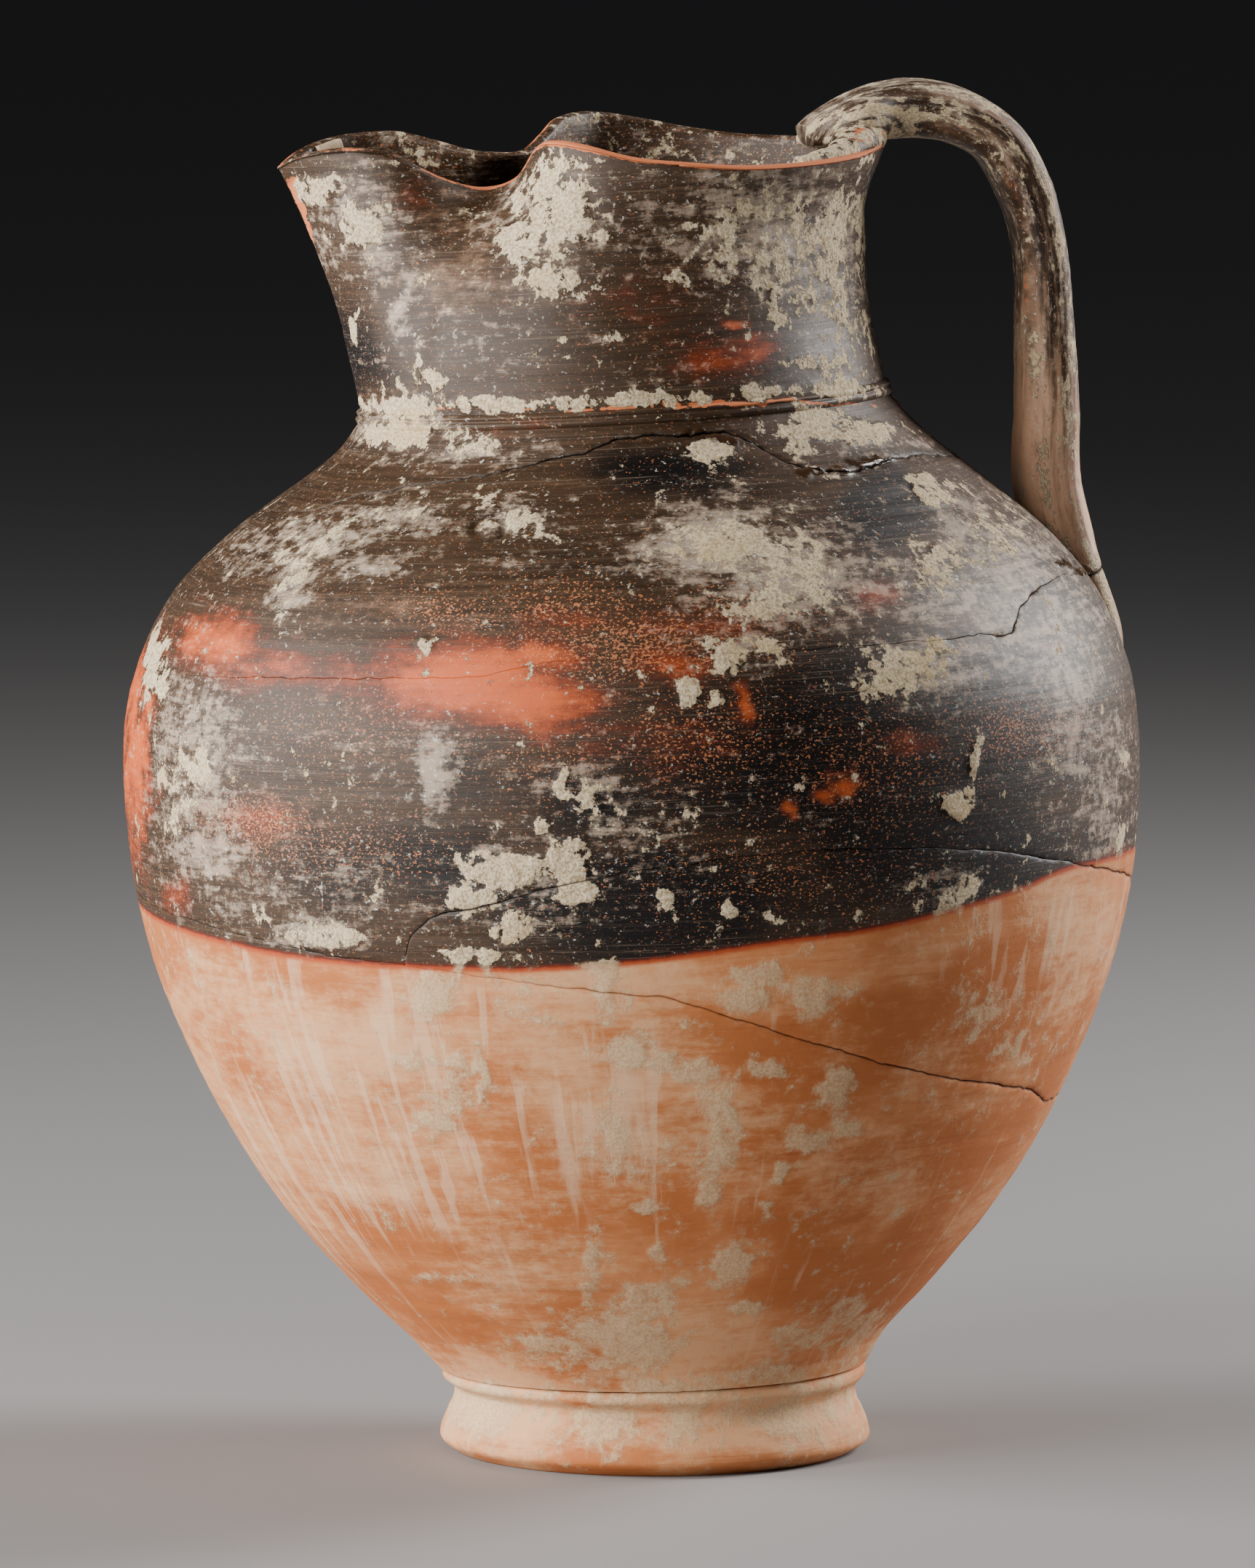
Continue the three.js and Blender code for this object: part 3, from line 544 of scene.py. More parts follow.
def flow(points):
    """Points moved out to one radius, so that a pattern on them runs straight down the wall."""
    radius = np.maximum(np.hypot(points[..., :1], points[..., 1:2]), 1)
    return np.concatenate([points[..., :2] / radius * FLOW_RADIUS, points[..., 2:]], axis=-1)


def make_piece(name, grid, faces, fields, grain=None):
    """A mesh object from a grid in upright millimetres, with the values its material reads.

    Its grain is its own shape, and slip coats all of it, unless they are given.
    """
    grain = grid if grain is None else grain
    fields.setdefault("slip", np.full(grid.shape[:2], SLIP_LIMIT))
    mesh = bpy.data.meshes.new(name)
    mesh.from_pydata((lean(grid.reshape(-1, 3)) / 1000).tolist(), [], faces)
    for key, values in fields.items():
        layer = mesh.attributes.new(key, "FLOAT", "POINT")
        layer.data.foreach_set("value", np.asarray(values, np.float32).ravel())
    for key, values in (("grain", grain), ("flow", flow(grain))):
        layer = mesh.attributes.new(key, "FLOAT_VECTOR", "POINT")
        layer.data.foreach_set("vector", np.asarray(values, np.float32).ravel())
    mesh.materials.append(MATERIALS[SLOTS[name]])
    mesh.polygons.foreach_set("use_smooth", [True] * len(mesh.polygons))
    return placed(name, mesh)


def quads(low, high, columns, spans):
    """Quads between two rows of points, which start at these numbers."""
    steps = [(j, (j + 1) % columns) for j in range(spans)]
    return [(low + j, low + k, high + k, high + j) for j, k in steps]


def loop_faces(rows, columns, wrapped=True):
    """Quads of a closed loop of rows, with columns that go all round or are capped at both ends."""
    faces = []
    for i in range(rows):
        low, high = i * columns, (i + 1) % rows * columns
        faces += quads(low, high, columns, columns if wrapped else columns - 1)
    if not wrapped:
        faces.append([i * columns for i in range(rows)])
        faces.append([i * columns + columns - 1 for i in reversed(range(rows))])
    return faces


def tube_faces(rows, columns):
    """Quads of rows that are closed rings, with a cap at both ends."""
    faces = []
    for i in range(rows - 1):
        faces += quads(i * columns, (i + 1) * columns, columns, columns)
    faces.append(list(reversed(range(columns))))
    faces.append([(rows - 1) * columns + j for j in range(columns)])
    return faces


def finish_piece(piece, node):
    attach(piece, "root")
    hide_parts(node)


# Materials


def linear(red, green, blue):
    """A colour given as it looks on a screen, from 0 to 255, as the shader wants it."""
    return tuple((value / 255) ** 2.2 for value in (red, green, blue)) + (1.0,)


CLAY = linear(206, 134, 86)
CLAY_DARK = linear(182, 106, 58)
CLAY_LINES = linear(164, 88, 50)
# Pale film over the clay, on the foot partly painted light
CLAY_FILM_AND_LIGHT = linear(228, 178, 134)
DRIED_DRIP = linear(238, 206, 174)
BARE_EDGE = linear(204, 116, 74)
BROWN = linear(80, 60, 43)
BROWN_DARK = linear(50, 37, 26)
BROWN_CLOUD = linear(56, 42, 30)
# Pale tan of thin slip, on the lower strap partly painted light
THIN_SLIP_AND_LIGHT = linear(224, 178, 144)
BLACK_SLIP = linear(9, 6, 5)
BLACK_LINES = linear(30, 21, 17)
MISFIRED = linear(198, 90, 42)
HALF_FIRED = linear(100, 44, 24)
RUBBED = linear(136, 118, 102)
LIME_FILM = linear(186, 166, 146)
LIME_DOT = linear(204, 196, 186)
FLECK = linear(194, 122, 82)
SCRATCH = linear(170, 158, 146)
SLIP_HALO = linear(170, 74, 40)
SLIP_RIM = linear(92, 34, 20)
CREAM = linear(224, 206, 174)
CREAM_DARK = linear(160, 138, 106)
CREAM_STAIN = linear(196, 168, 120)
PALE = linear(216, 194, 158)
PALE_DARK = linear(188, 160, 124)
GLUE_BROWN = linear(60, 44, 32)
# Darker copies of clay and slip for seams: partly a dark joint, partly painted shade in the gap
CLAY_SEAM_SHADE = linear(96, 50, 26)
SLIP_SEAM_SHADE = linear(22, 13, 9)
PLASTER = linear(214, 190, 158)
PLASTER_STAIN = linear(176, 146, 114)
FLOOR_GREY = linear(139, 137, 137)

# Noise patterns: stretch, scale, detail and roughness
EVEN = (1, 1, 1)
PATTERNS = {
    "lines": ((0.02, 0.02, 1.1), 1.0, 7.0, 0.75),
    "fine_lines": ((0.04, 0.04, 2.6), 1.0, 4.0, 0.7),
    "streak": ((0.1, 0.1, 0.5), 1.0, 8.0, 0.72),
    "flake": (EVEN, 0.33, 9.0, 0.68),
    "grit": (EVEN, 1.5, 4.0, 0.7),
    "cloudy": ((0.6, 0.6, 1), 0.036, 5.0, 0.6),
    "drips": ((0.15, 0.15, 0.02), 1.0, 5.0, 0.6),
    "runs": ((0.3, 0.3, 0.028), 1.0, 4.0, 0.55),
    "specks": ((1, 1, 1.4), 1.5, 4.0, 0.6),
    "dots": ((1, 1, 1.3), 0.7, 7.0, 0.75),
    "bend": ((0.6, 0.6, 1), 0.03, 0.0, 0.5),
    "stain": (EVEN, 0.25, 5.0, 0.65),
    "fill_grit": (EVEN, 2.0, 4.0, 0.7),
}
FLOWING = ("drips", "runs")


class Graph:
    """Short forms for a material's nodes."""

    def __init__(self, name):
        self.material = bpy.data.materials.new(name)
        self.material.use_nodes = True
        self.tree = self.material.node_tree
        self.tree.nodes.clear()
        self.made = {}

    def node(self, kind, inputs, **settings):
        made = self.tree.nodes.new("ShaderNode" + kind)
        for key, value in settings.items():
            setattr(made, key, value)
        for key, value in inputs.items():
            if isinstance(value, bpy.types.NodeSocket):
                self.tree.links.new(value, made.inputs[key])
            else:
                made.inputs[key].default_value = value
        return made

    def value(self, name, output="Fac"):
        return self.node("Attribute", {}, attribute_name=name).outputs[output]

    def pattern(self, name):
        """A noise pattern, made when it is first asked for."""
        if name not in self.made:
            stretch, scale, detail, roughness = PATTERNS[name]
            along = self.value("flow" if name in FLOWING else "grain", "Vector")
            inputs = {0: along, 1: stretch}
            at = self.node("VectorMath", inputs, operation="MULTIPLY").outputs[0]
            inputs = {"Vector": at, "Scale": scale, "Detail": detail, "Roughness": roughness}
            self.made[name] = self.node("TexNoise", inputs).outputs["Fac"]
        return self.made[name]

    def maths(self, operation, first, second):
        return self.node("Math", {0: first, 1: second}, operation=operation).outputs[0]

    def times(self, first, second):
        return self.maths("MULTIPLY", first, second)

    def plus(self, first, second):
        return self.maths("ADD", first, second)

    def stirred(self, value, *stirs):
        """A value with patterns on it, each from -strength / 2 to strength / 2."""
        for name, strength in stirs:
            noise = self.maths("SUBTRACT", self.pattern(name), 0.5)
            value = self.plus(value, self.times(noise, strength))
        return value

    def rise(self, value, low, high):
        inputs = {"Value": value, "From Min": low, "From Max": high}
        return self.node("MapRange", inputs, interpolation_type="SMOOTHSTEP").outputs[0]

    def mix(self, share, first, second):
        inputs = {0: share, 6: first, 7: second}
        return self.node("Mix", inputs, data_type="RGBA").outputs[2]

    def blend(self, share, first, second):
        inputs = {0: share, 2: first, 3: second}
        return self.node("Mix", inputs, data_type="FLOAT").outputs[0]

    def coat(self, under, colour, value, low, high, strength=1.0):
        """A colour laid over another where a value rises from low to high."""
        return self.mix(self.times(self.rise(value, low, high), strength), under, colour)

    def finish(self, colour, roughness, height, depth, strength, sheen=0.5):
        """The material, with a bump of this depth in metres."""
        bump = self.node("Bump", {"Height": height, "Distance": depth, "Strength": strength})
        shader = self.node("BsdfPrincipled", {
            "Base Color": colour, "Roughness": roughness, "Normal": bump.outputs[0],
            "Specular IOR Level": sheen,
        })
        self.node("OutputMaterial", {"Surface": shader.outputs[0]})
        return self.material


def clay_colour(g):
    clay = g.coat(CLAY_DARK, CLAY, g.pattern("cloudy"), 0.4, 0.62)
    clay = g.coat(clay, CLAY_LINES, g.pattern("lines"), 0.52, 0.7, 0.5)
    # Pale film over the clay, on the foot partly painted light
    film = g.stirred(g.value("wash_and_light"), ("cloudy", 2.0), ("flake", 1.2), ("streak", 1.6))
    clay = g.coat(clay, CLAY_FILM_AND_LIGHT, film, 0.1, 1.0, 0.72)
    wet = g.rise(g.stirred(g.value("drip"), ("drips", 3.0)), 0.25, 0.7)
    run = g.times(g.rise(g.pattern("runs"), 0.51, 0.56), wet)
    return g.mix(g.times(run, 0.34), clay, DRIED_DRIP)


def fired_slip(g):
    """Slip as the kiln left it: brown, black and misfired orange."""
    brown = g.coat(BROWN_DARK, BROWN, g.pattern("lines"), 0.36, 0.7)
    brown = g.coat(brown, BROWN_CLOUD, g.pattern("cloudy"), 0.42, 0.62, 0.6)
    # Pale tan over the brown: thin slip, and on the lower strap partly painted light
    tan = g.stirred(g.value("tan"), ("streak", 1.0), ("flake", 0.6))
    brown = g.coat(brown, THIN_SLIP_AND_LIGHT, tan, 0.1, 1.0, 0.9)
    black = g.coat(BLACK_SLIP, BLACK_LINES, g.pattern("fine_lines"), 0.42, 0.7)
    slip = g.coat(brown, black, g.stirred(g.value("black"), ("cloudy", 1.2)), 0.2, 0.8)
    fired = g.stirred(g.value("orange"), ("streak", 1.0), ("flake", 0.6))
    slip = g.coat(slip, HALF_FIRED, fired, 0.15, 0.6)
    return g.coat(slip, MISFIRED, fired, 0.35, 1.05)


def slip_colour(g):
    """Slip with what time did to it: rubbed lines, film, flecks, scratches and dots of lime."""
    haze = g.value("haze")
    rubbed = g.plus(g.pattern("fine_lines"), g.times(haze, 0.05))
    slip = g.coat(fired_slip(g), RUBBED, g.stirred(rubbed, ("cloudy", 0.3)), 0.57, 0.74, 0.4)
    film = g.stirred(haze, ("streak", 2.4), ("flake", 2.4))
    slip = g.coat(slip, LIME_FILM, film, 0.3, 1.05, 0.72)
    specks = g.plus(g.pattern("specks"), g.times(g.value("flecks"), 0.12))
    slip = g.coat(slip, FLECK, specks, 0.63, 0.69, 0.8)
    near_bend = g.maths("ABSOLUTE", g.maths("SUBTRACT", g.pattern("bend"), 0.5), 0.0)
    scratch = g.times(g.rise(near_bend, 0.0012, 0.0003), g.rise(g.pattern("flake"), 0.54, 0.6))
    slip = g.mix(g.times(scratch, 0.6), slip, SCRATCH)
    dots = g.plus(g.pattern("dots"), g.times(haze, 0.06))
    return g.coat(slip, LIME_DOT, dots, 0.61, 0.68, 0.9)


def pottery(name):
    """Weathered pottery: clay, slip, haze, crust and glue where the mesh's values place them, and painted
    shade in seams.
    """
    g = Graph(name)
    cover = g.stirred(g.value("slip"), ("flake", 1.2))
    coated = g.rise(cover, 0.3, 1.1)
    base = g.coat(clay_colour(g), SLIP_HALO, cover, -1.4, -0.2)
    base = g.coat(base, SLIP_RIM, cover, -0.3, 0.5)
    base = g.mix(coated, base, slip_colour(g))
    bare = g.rise(g.stirred(g.value("worn"), ("flake", 1.2)), 0.42, 0.56)
    base = g.mix(bare, base, BARE_EDGE)

    lines, grit = g.pattern("lines"), g.pattern("grit")
    crust = g.value("crust")
    firm = g.rise(g.stirred(crust, ("flake", 3.2)), 0.46, 0.56)
    faint = g.rise(g.stirred(crust, ("flake", 2.2)), 0.1, 0.8)
    thin = g.maths("MAXIMUM", g.times(firm, 0.62), g.times(faint, 0.68))
    crusted = g.blend(coated, thin, firm)
    cream = g.coat(CREAM_DARK, CREAM, grit, 0.36, 0.62)
    cream = g.coat(cream, CREAM_STAIN, g.pattern("cloudy"), 0.5, 0.62, 0.4)
    pale = g.coat(PALE_DARK, PALE, grit, 0.36, 0.62)
    colour = g.mix(crusted, base, g.mix(coated, pale, cream))
    glue = g.rise(g.value("glue"), 0.3, 0.6)
    colour = g.mix(g.times(glue, 0.7), colour, GLUE_BROWN)
    # Seams of mends and the ring mark painted darker: partly a dark joint, partly painted shade
    seam_shade_colour = g.mix(coated, CLAY_SEAM_SHADE, SLIP_SEAM_SHADE)
    colour = g.coat(colour, seam_shade_colour, g.value("groove"), 0.15, 0.9, 0.9)

    rough = g.blend(coated, 0.74, g.blend(lines, 0.4, 0.62))
    for share, roughness in ((bare, 0.75), (crusted, 0.92), (glue, 0.08)):
        rough = g.blend(share, rough, roughness)

    gritty = g.times(g.plus(g.times(grit, 0.6), 0.15), g.blend(coated, 0.5, 1.0))
    height = g.plus(g.times(lines, 0.12), g.times(g.pattern("fine_lines"), 0.05))
    height = g.plus(height, g.times(crusted, gritty))
    height = g.plus(height, g.times(g.pattern("flake"), 0.15))
    return g.finish(colour, rough, height, 0.0008, 0.8, sheen=0.32)


def plaster():
    """The smooth pale filler of a modern repair."""
    g = Graph("plaster_fill")
    colour = g.coat(PLASTER, PLASTER_STAIN, g.pattern("stain"), 0.4, 0.66)
    return g.finish(colour, 0.8, g.pattern("fill_grit"), 0.0003, 0.6)


MATERIALS = {name: pottery(name) for name in ("bare_clay", "dark_slip", "brown_slip")}
MATERIALS["plaster_fill"] = plaster()

# The strap's two ears, with the side that each spreads to: -1 is the camera's side
EARS = {"near_ear": -1, "far_ear": 1}
# The material of each piece, as the record says, and of the ears
SLOTS = {row["node"]: row["material_slot"] for row in frame["record"]["subparts"]}
SLOTS.update(dict.fromkeys(EARS, "brown_slip"))


# The body's sherds

# Columns round the body, crowded on the camera's side, and along the wedge
COLUMNS = 700
NEAR_CROWDING = 0.3
WEDGE_COLUMNS = 480
TURNED_COLUMNS = 520
# Between rows in the middle of a sherd, and the rows near its edges
STEP = 1.15
EDGE_STEPS = np.array([0, 0.15, 0.3, 0.5, 0.8, 1.2])
INSIDE_ROWS = 10
# Half the gap at the finer mends
FINE = 0.05
# The mends: their line, how much shows of it, and the seed of its wanderings
MENDS = {
    "base": (BASE_MEND, BASE_SHOW, 3), "belly": (BELLY_MEND, BELLY_SHOW, 4),
    "hair": (HAIRLINE_MEND, HAIRLINE_SHOW, 5), "shoulder": (SHOULDER_MEND, SHOULDER_SHOW, 6),
}
WEDGE_ENDS = [math.radians(BELLY_MEND[end][0]) for end in (0, -1)]
LEAST_WEDGE = GAP + 0.02
BREAK_WANDER = 0.45
GROOVE_WIDTH = 0.36
DIP_WIDTH = 0.45
DIP_DEPTH = 0.4
# Relief fades out between these radii, towards the axis
AXIS_FADE = (5, 20)


def slip_cover(grid):
    """How far over the slip's lower edge, in millimetres, kept within the limit."""
    angle = np.arctan2(grid[..., 1], grid[..., 0])
    return np.clip(grid[..., 2] - line_at(SLIP_EDGE, angle), -SLIP_LIMIT, SLIP_LIMIT)


def even_rows(length):
    """Shares of a length, closer together at both ends."""
    fine = EDGE_STEPS / length
    middle = np.linspace(fine[-1], 1 - fine[-1], max(int(length / STEP), 6))
    return np.concatenate([fine[:-1], middle, 1 - fine[-2::-1]])


def sherd(name, low, high, mends, angles, wrapped=True):
    """A sherd of the wall between two heights at each angle. mends are (heights, how much shown)."""
    low_run, high_run = wall_run(low), wall_run(high)
    run = low_run + (high_run - low_run) * even_rows(np.max(high_run - low_run))[:, None]
    angle = np.broadcast_to(angles, run.shape)
    outer = on_wall(angle, run)
    slope = np.interp(run, WALL_RUN, WALL_WAY[:, 1])
    fall = -np.interp(run, WALL_RUN, WALL_WAY[:, 0])
    normals = np.stack([np.cos(angle) * slope, np.sin(angle) * slope, fall], axis=-1)
    groove, dip = np.zeros(run.shape), np.zeros(run.shape)
    # Each mend dips, and its seam is painted darker, partly as painted shade
    for heights, shown in mends:
        away = np.abs(run - wall_run(heights))
        groove = np.maximum(groove, shown * peak(away, GROOVE_WIDTH))
        dip = np.maximum(dip, shown * np.exp(-away / DIP_WIDTH))
    fields, relief = weather(outer, normals, groove)
    relief = relief - DIP_DEPTH * dip * (1 + cloud(outer, 2.4, 2, 83))
    outer = outer + normals * relief[..., None]
    inside_run = low_run + (high_run - low_run) * np.linspace(1, 0, INSIDE_ROWS)[:, None]
    inner = on_wall(np.broadcast_to(angles, inside_run.shape), inside_run, WALL)
    grid = np.concatenate([outer, inner])
    fields = with_inside(fields, inner)
    fields["slip"] = slip_cover(grid)
    return make_piece(name, grid, loop_faces(len(grid), len(angles), wrapped), fields)


def mend_at(name, angle):
    """A mend at angles: its heights, with the small wanderings of a break, and how much it shows."""
    line, shown, seed = MENDS[name]
    ring = np.stack([100 * np.cos(angle), 100 * np.sin(angle), 0 * angle], axis=-1)
    heights = line_at(line, angle) + BREAK_WANDER * cloud(ring, 6.0, 4, seed, 0.7)
    if name == "belly":
        base = mend_at("base", angle)[0]
        beside = (angle >= WEDGE_ENDS[0]) & (angle <= WEDGE_ENDS[1])
        heights = np.where(beside, np.maximum(heights, base + LEAST_WEDGE), base)
    return heights, line_at(shown, angle)


def make_body():
    even = np.linspace(-math.pi, math.pi, COLUMNS, endpoint=False)
    around = even - NEAR_CROWDING * np.cos(even)
    wedge = np.linspace(*WEDGE_ENDS, WEDGE_COLUMNS)
    base, belly, hair, shoulder = (mend_at(name, around) for name in MENDS)
    wedge_base, wedge_belly = (mend_at(name, wedge) for name in ("base", "belly"))
    foot_join = np.full(COLUMNS, FOOT_HEIGHT + GAP)
    neck_join = np.full(COLUMNS, NECK_JOIN - GAP / 2)
    rows = [
        ("base_sherd", foot_join, base[0] - FINE, [base], around),
        ("belly_wedge_sherd", wedge_base[0] + FINE, wedge_belly[0] - FINE,
         [wedge_base, wedge_belly], wedge, False),
        ("belly_sherd", belly[0] + FINE, hair[0] - FINE, [belly, hair], around),
        ("shoulder_sherd", hair[0] + FINE, shoulder[0] - GAP / 2, [hair, shoulder], around),
        ("upper_shoulder_sherd", shoulder[0] + GAP / 2, neck_join, [shoulder], around),
    ]
    return {row[0]: sherd(*row) for row in rows}


def turned(name, profile):
    """A piece turned round the axis from a closed outline of radius and height."""
    angle = np.linspace(-math.pi, math.pi, TURNED_COLUMNS, endpoint=False)[None, :]
    radius, height = profile[:, :1], profile[:, 1:]
    rows = [radius * np.cos(angle), radius * np.sin(angle), height + 0 * angle]
    grid = np.stack(rows, axis=-1)
    normals = grid_normals(grid)
    fields, relief = weather(grid, normals)
    grid = grid + normals * (relief * smooth(radius, *AXIS_FADE))[..., None]
    grid[..., 2] = np.maximum(grid[..., 2], 0)
    fields["slip"] = slip_cover(grid)
    return make_piece(name, grid, loop_faces(len(grid), TURNED_COLUMNS), fields)


def make_foot():
    line = through([
        (FOOT_REST_RADIUS, 0), (FOOT_WIDEST_RADIUS - 0.3, 2.2), (FOOT_WIDEST_RADIUS, 4.4),
        (45.9, 8), (44.5, 11), (FOOT_WAIST_RADIUS, 13.2), (44.6, 14.6), (FOOT_RIDGE_RADIUS, 16.2),
        (FOOT_RIDGE_RADIUS + 0.3, 17.6), (BODY_BASE_RADIUS - 0.6, FOOT_HEIGHT),
    ], 46)
    under = np.array([(radius, 0.0) for radius in np.linspace(0.4, FOOT_REST_RADIUS - 1, 8)])
    top = np.array([(radius, FOOT_HEIGHT) for radius in np.linspace(FOOT_RIDGE_RADIUS - 1, 0.4, 8)])
    return turned("foot", np.concatenate([under, line, top]))


def make_fillet():
    """The ring round the neck's foot: rounded, with a shallow groove along it."""
    low = NECK_JOIN - FILLET_HEIGHT * 0.1
    inside = NECK_RADIUS - 0.4
    rows = [(0, -1), (1.2, -0.7), (1.7, 0.4), (1.1, 1.1), (1.4, 1.8), (0.8, 2.4), (0, FILLET_HEIGHT)]
    return turned("neck_fillet", through([(inside + out, low + up) for out, up in rows], 26))


# Neck and mouth

LIP_STEPS = 760
NECK_ROWS = 84
NECK_INSIDE_ROWS = 24
CROWN_ROWS = 9
FLARE_FROM = 0.7
WAIST_AT = 0.5
# The rounded lip rises over the edges of the wall, which stop this far under the lip line
LIP_SINK = 0.9
# Wear along the lip: how wide, and more of it on the near lobe
RIM_BAND = (1.6, 2.2)
RIM_WEAR = 0.46
NEAR_LOBE_WEAR = 0.66
FAR_SIDE_WEAR = 0.2
NEAR_LOBE = (-34, -20)
FILL_ROWS = 16
FILL_PROUD = 0.25
FILL_INSIDE = LIP_THICKNESS + 0.9
FILL_SINK = 0.4


def lip_line():
    """The lip, clockwise from its back: along the near side to the tip, and back along the far side."""
    def place(back, out, rise):
        return LIP_BACK - back * MOUTH_LENGTH, out * MOUTH_WIDTH / 2, LIP_HEIGHT + rise * NECK_HEIGHT

    back = (LIP_BACK, 0, LIP_HEIGHT + LIP_BACK_RISE)
    tip = (-SPOUT_REACH, 0, LIP_HEIGHT + LIP_TIP_RISE)
    near = [place(share, -out, rise) for share, out, rise, _, _ in LIP]
    far = [place(share, out, rise) for share, _, _, out, rise in reversed(LIP)]
    return through([back, *near, tip, *far], LIP_STEPS, closed=True, power=0.5)


def neck_rings(shares):
    """The neck's outside at shares of its height, as rows of points that go round clockwise."""
    lip = lip_line()
    way = np.roll(lip, -1, axis=0) - np.roll(lip, 1, axis=0)
    way = way / np.linalg.norm(way[:, :2], axis=1, keepdims=True)
    x, y = lip[:, 0], lip[:, 1]
    lobe = smooth(x, *LOBE)
    even = -2 * math.pi * np.arange(LIP_STEPS) / LIP_STEPS
    turned_by = np.arctan2(y, x) - even
    angle = even + np.arctan2(np.sin(turned_by), np.cos(turned_by)) / 2
    pinch = peak(x - LIP_BACK + PINCH_PLACE * MOUTH_LENGTH, PINCH_SPAN)
    up = np.asarray(shares)[:, None]
    share = up ** (EASE + EASE * pinch)
    flare = LIP_FLARE * (1 - smooth(up, FLARE_FROM, 1))
    radius = NECK_RADIUS - NECK_WAIST * smooth(up, 0, WAIST_AT)
    lobed_x = x + way[:, 1] * flare * lobe
    lobed_y = y - way[:, 0] * flare * lobe
    low = NECK_JOIN + GAP / 2
    return np.stack([
        radius * np.cos(angle) * (1 - share) + lobed_x * share,
        radius * np.sin(angle) * (1 - share) + lobed_y * share,
        low + up * (lip[:, 2] - low) + 0 * share,
    ], axis=-1)


def widened(rings, out):
    """Rings moved outwards in plan."""
    way = np.roll(rings, -3, axis=1) - np.roll(rings, 3, axis=1)
    way = way / np.linalg.norm(way[..., :2], axis=-1, keepdims=True)
    moved = rings.copy()
    moved[..., 0] -= way[..., 1] * out
    moved[..., 1] += way[..., 0] * out
    return moved


def rim_wear(x, y, from_rim):
    """How far the slip is worn off along the lip, by rows from its crown."""
    near_lobe = smooth(x, *NEAR_LOBE) * smooth(-y, 0, 8)
    width, more = RIM_BAND
    strength = RIM_WEAR + NEAR_LOBE_WEAR * near_lobe + FAR_SIDE_WEAR * smooth(y, 0, 8)
    return np.exp(-((from_rim[:, None] / (width + more * near_lobe)) ** 4)) * strength


def make_neck():
    shares = np.linspace(0, 1, NECK_ROWS) ** 0.85
    outer = neck_rings(shares)
    wall = (NECK_WALL + (LIP_THICKNESS - NECK_WALL) * shares)[:, None]
    sparse = np.linspace(0, NECK_ROWS - 1, NECK_INSIDE_ROWS).astype(int)
    inner = widened(outer, -wall)[sparse[::-1]]
    rim = outer[-1:].copy()
    crown = []
    for turn in np.linspace(0, math.pi, CROWN_ROWS)[1:-1]:
        ring = widened(rim, -LIP_THICKNESS / 2 * (1 - math.cos(turn)))
        ring[..., 2] += math.sin(turn) - LIP_SINK
        crown.append(ring[0])
    outer[-1, :, 2] -= LIP_SINK
    inner[0, :, 2] -= LIP_SINK
    normals = grid_normals(outer[:, ::-1])[:, ::-1]
    fields, relief = weather(outer, normals)
    relief = relief * smooth(1 - shares, 0, 0.03)[:, None]
    outer = outer + normals * relief[..., None]
    rest = np.concatenate([crown, inner])
    grid = np.concatenate([outer, rest])
    fields = with_inside(fields, rest)
    band = rim_wear(rim[0, :, 0], rim[0, :, 1], np.arange(len(grid)) - len(outer) - 1.0)
    fields["worn"] = np.maximum(fields["worn"], band + 0.2 * cloud(grid, 7.0, 4, 53, 0.75))
    fields["crust"] = fields["crust"] - 0.5 * band
    fields = {key: values[:, ::-1] for key, values in fields.items()}
    return make_piece("neck", grid[:, ::-1], loop_faces(len(grid), LIP_STEPS), fields)


def make_fill():
    """The patch in the spout's far wall, a little proud of it on both sides."""
    lip = lip_line()
    run = lengths(lip)
    from_tip = run - run[np.argmin(lip[:, 0])]
    chosen = np.flatnonzero((from_tip > FILL_FROM_TIP) & (from_tip < FILL_FROM_TIP + FILL_LENGTH))
    rings = neck_rings(np.linspace(1 - FILL_DEPTH / NECK_HEIGHT, 1, FILL_ROWS))
    outer = widened(rings, FILL_PROUD)[:, chosen]
    inner = widened(rings, -FILL_INSIDE)[::-1, chosen]
    outer[-1, :, 2] -= FILL_SINK
    inner[0, :, 2] -= FILL_SINK
    grid = np.concatenate([outer, inner])
    grid = grid + 0.15 * cloud(grid, 3.0, 3, 97)[..., None]
    faces = [tuple(reversed(face)) for face in loop_faces(len(grid), len(chosen), False)]
    return make_piece("spout_fill", grid, faces, {})


# Handle

STRAP_ROWS = 520
STRAP_COLUMNS = 130
RIDGE_HEIGHT = 0.35
RIDGE_PLACE = 0.15
RIDGE_WIDTH = 0.18
# Marks along the strap: millimetres from the lip, and how much there is
STRAP_FILM = [(0, 0.5), (40, 0.4), (70, 0.3), (110, 0.2), (150, 0.26), (190, 0.36), (230, 0.42)]
STRAP_DARK = [(0, 0.1), (60, 0.3), (90, 0.3), (120, 0.0), (230, 0.05)]
# Pale tan down the strap: worn slip, and on its lower part partly painted light where the strap lies in
# shade
STRAP_BARE_AND_LIGHT = [(0, 0.15), (60, 0.2), (85, 0.55), (110, 0.9), (230, 1.1)]
OUTER_ARRIS = math.radians(148)
NEAR_ARRIS = math.radians(216)
NEAR_ARRIS_MIDDLE = 125
NEAR_ARRIS_LENGTH = 26
EAR_COLUMNS = 48
EAR_REACH = 30.0
EAR_INSET = 4.4
EAR_THICKNESS = 4.4
EAR_END = 1.4
EAR_TAPER = 1.4
EAR_WIDER = 0.7


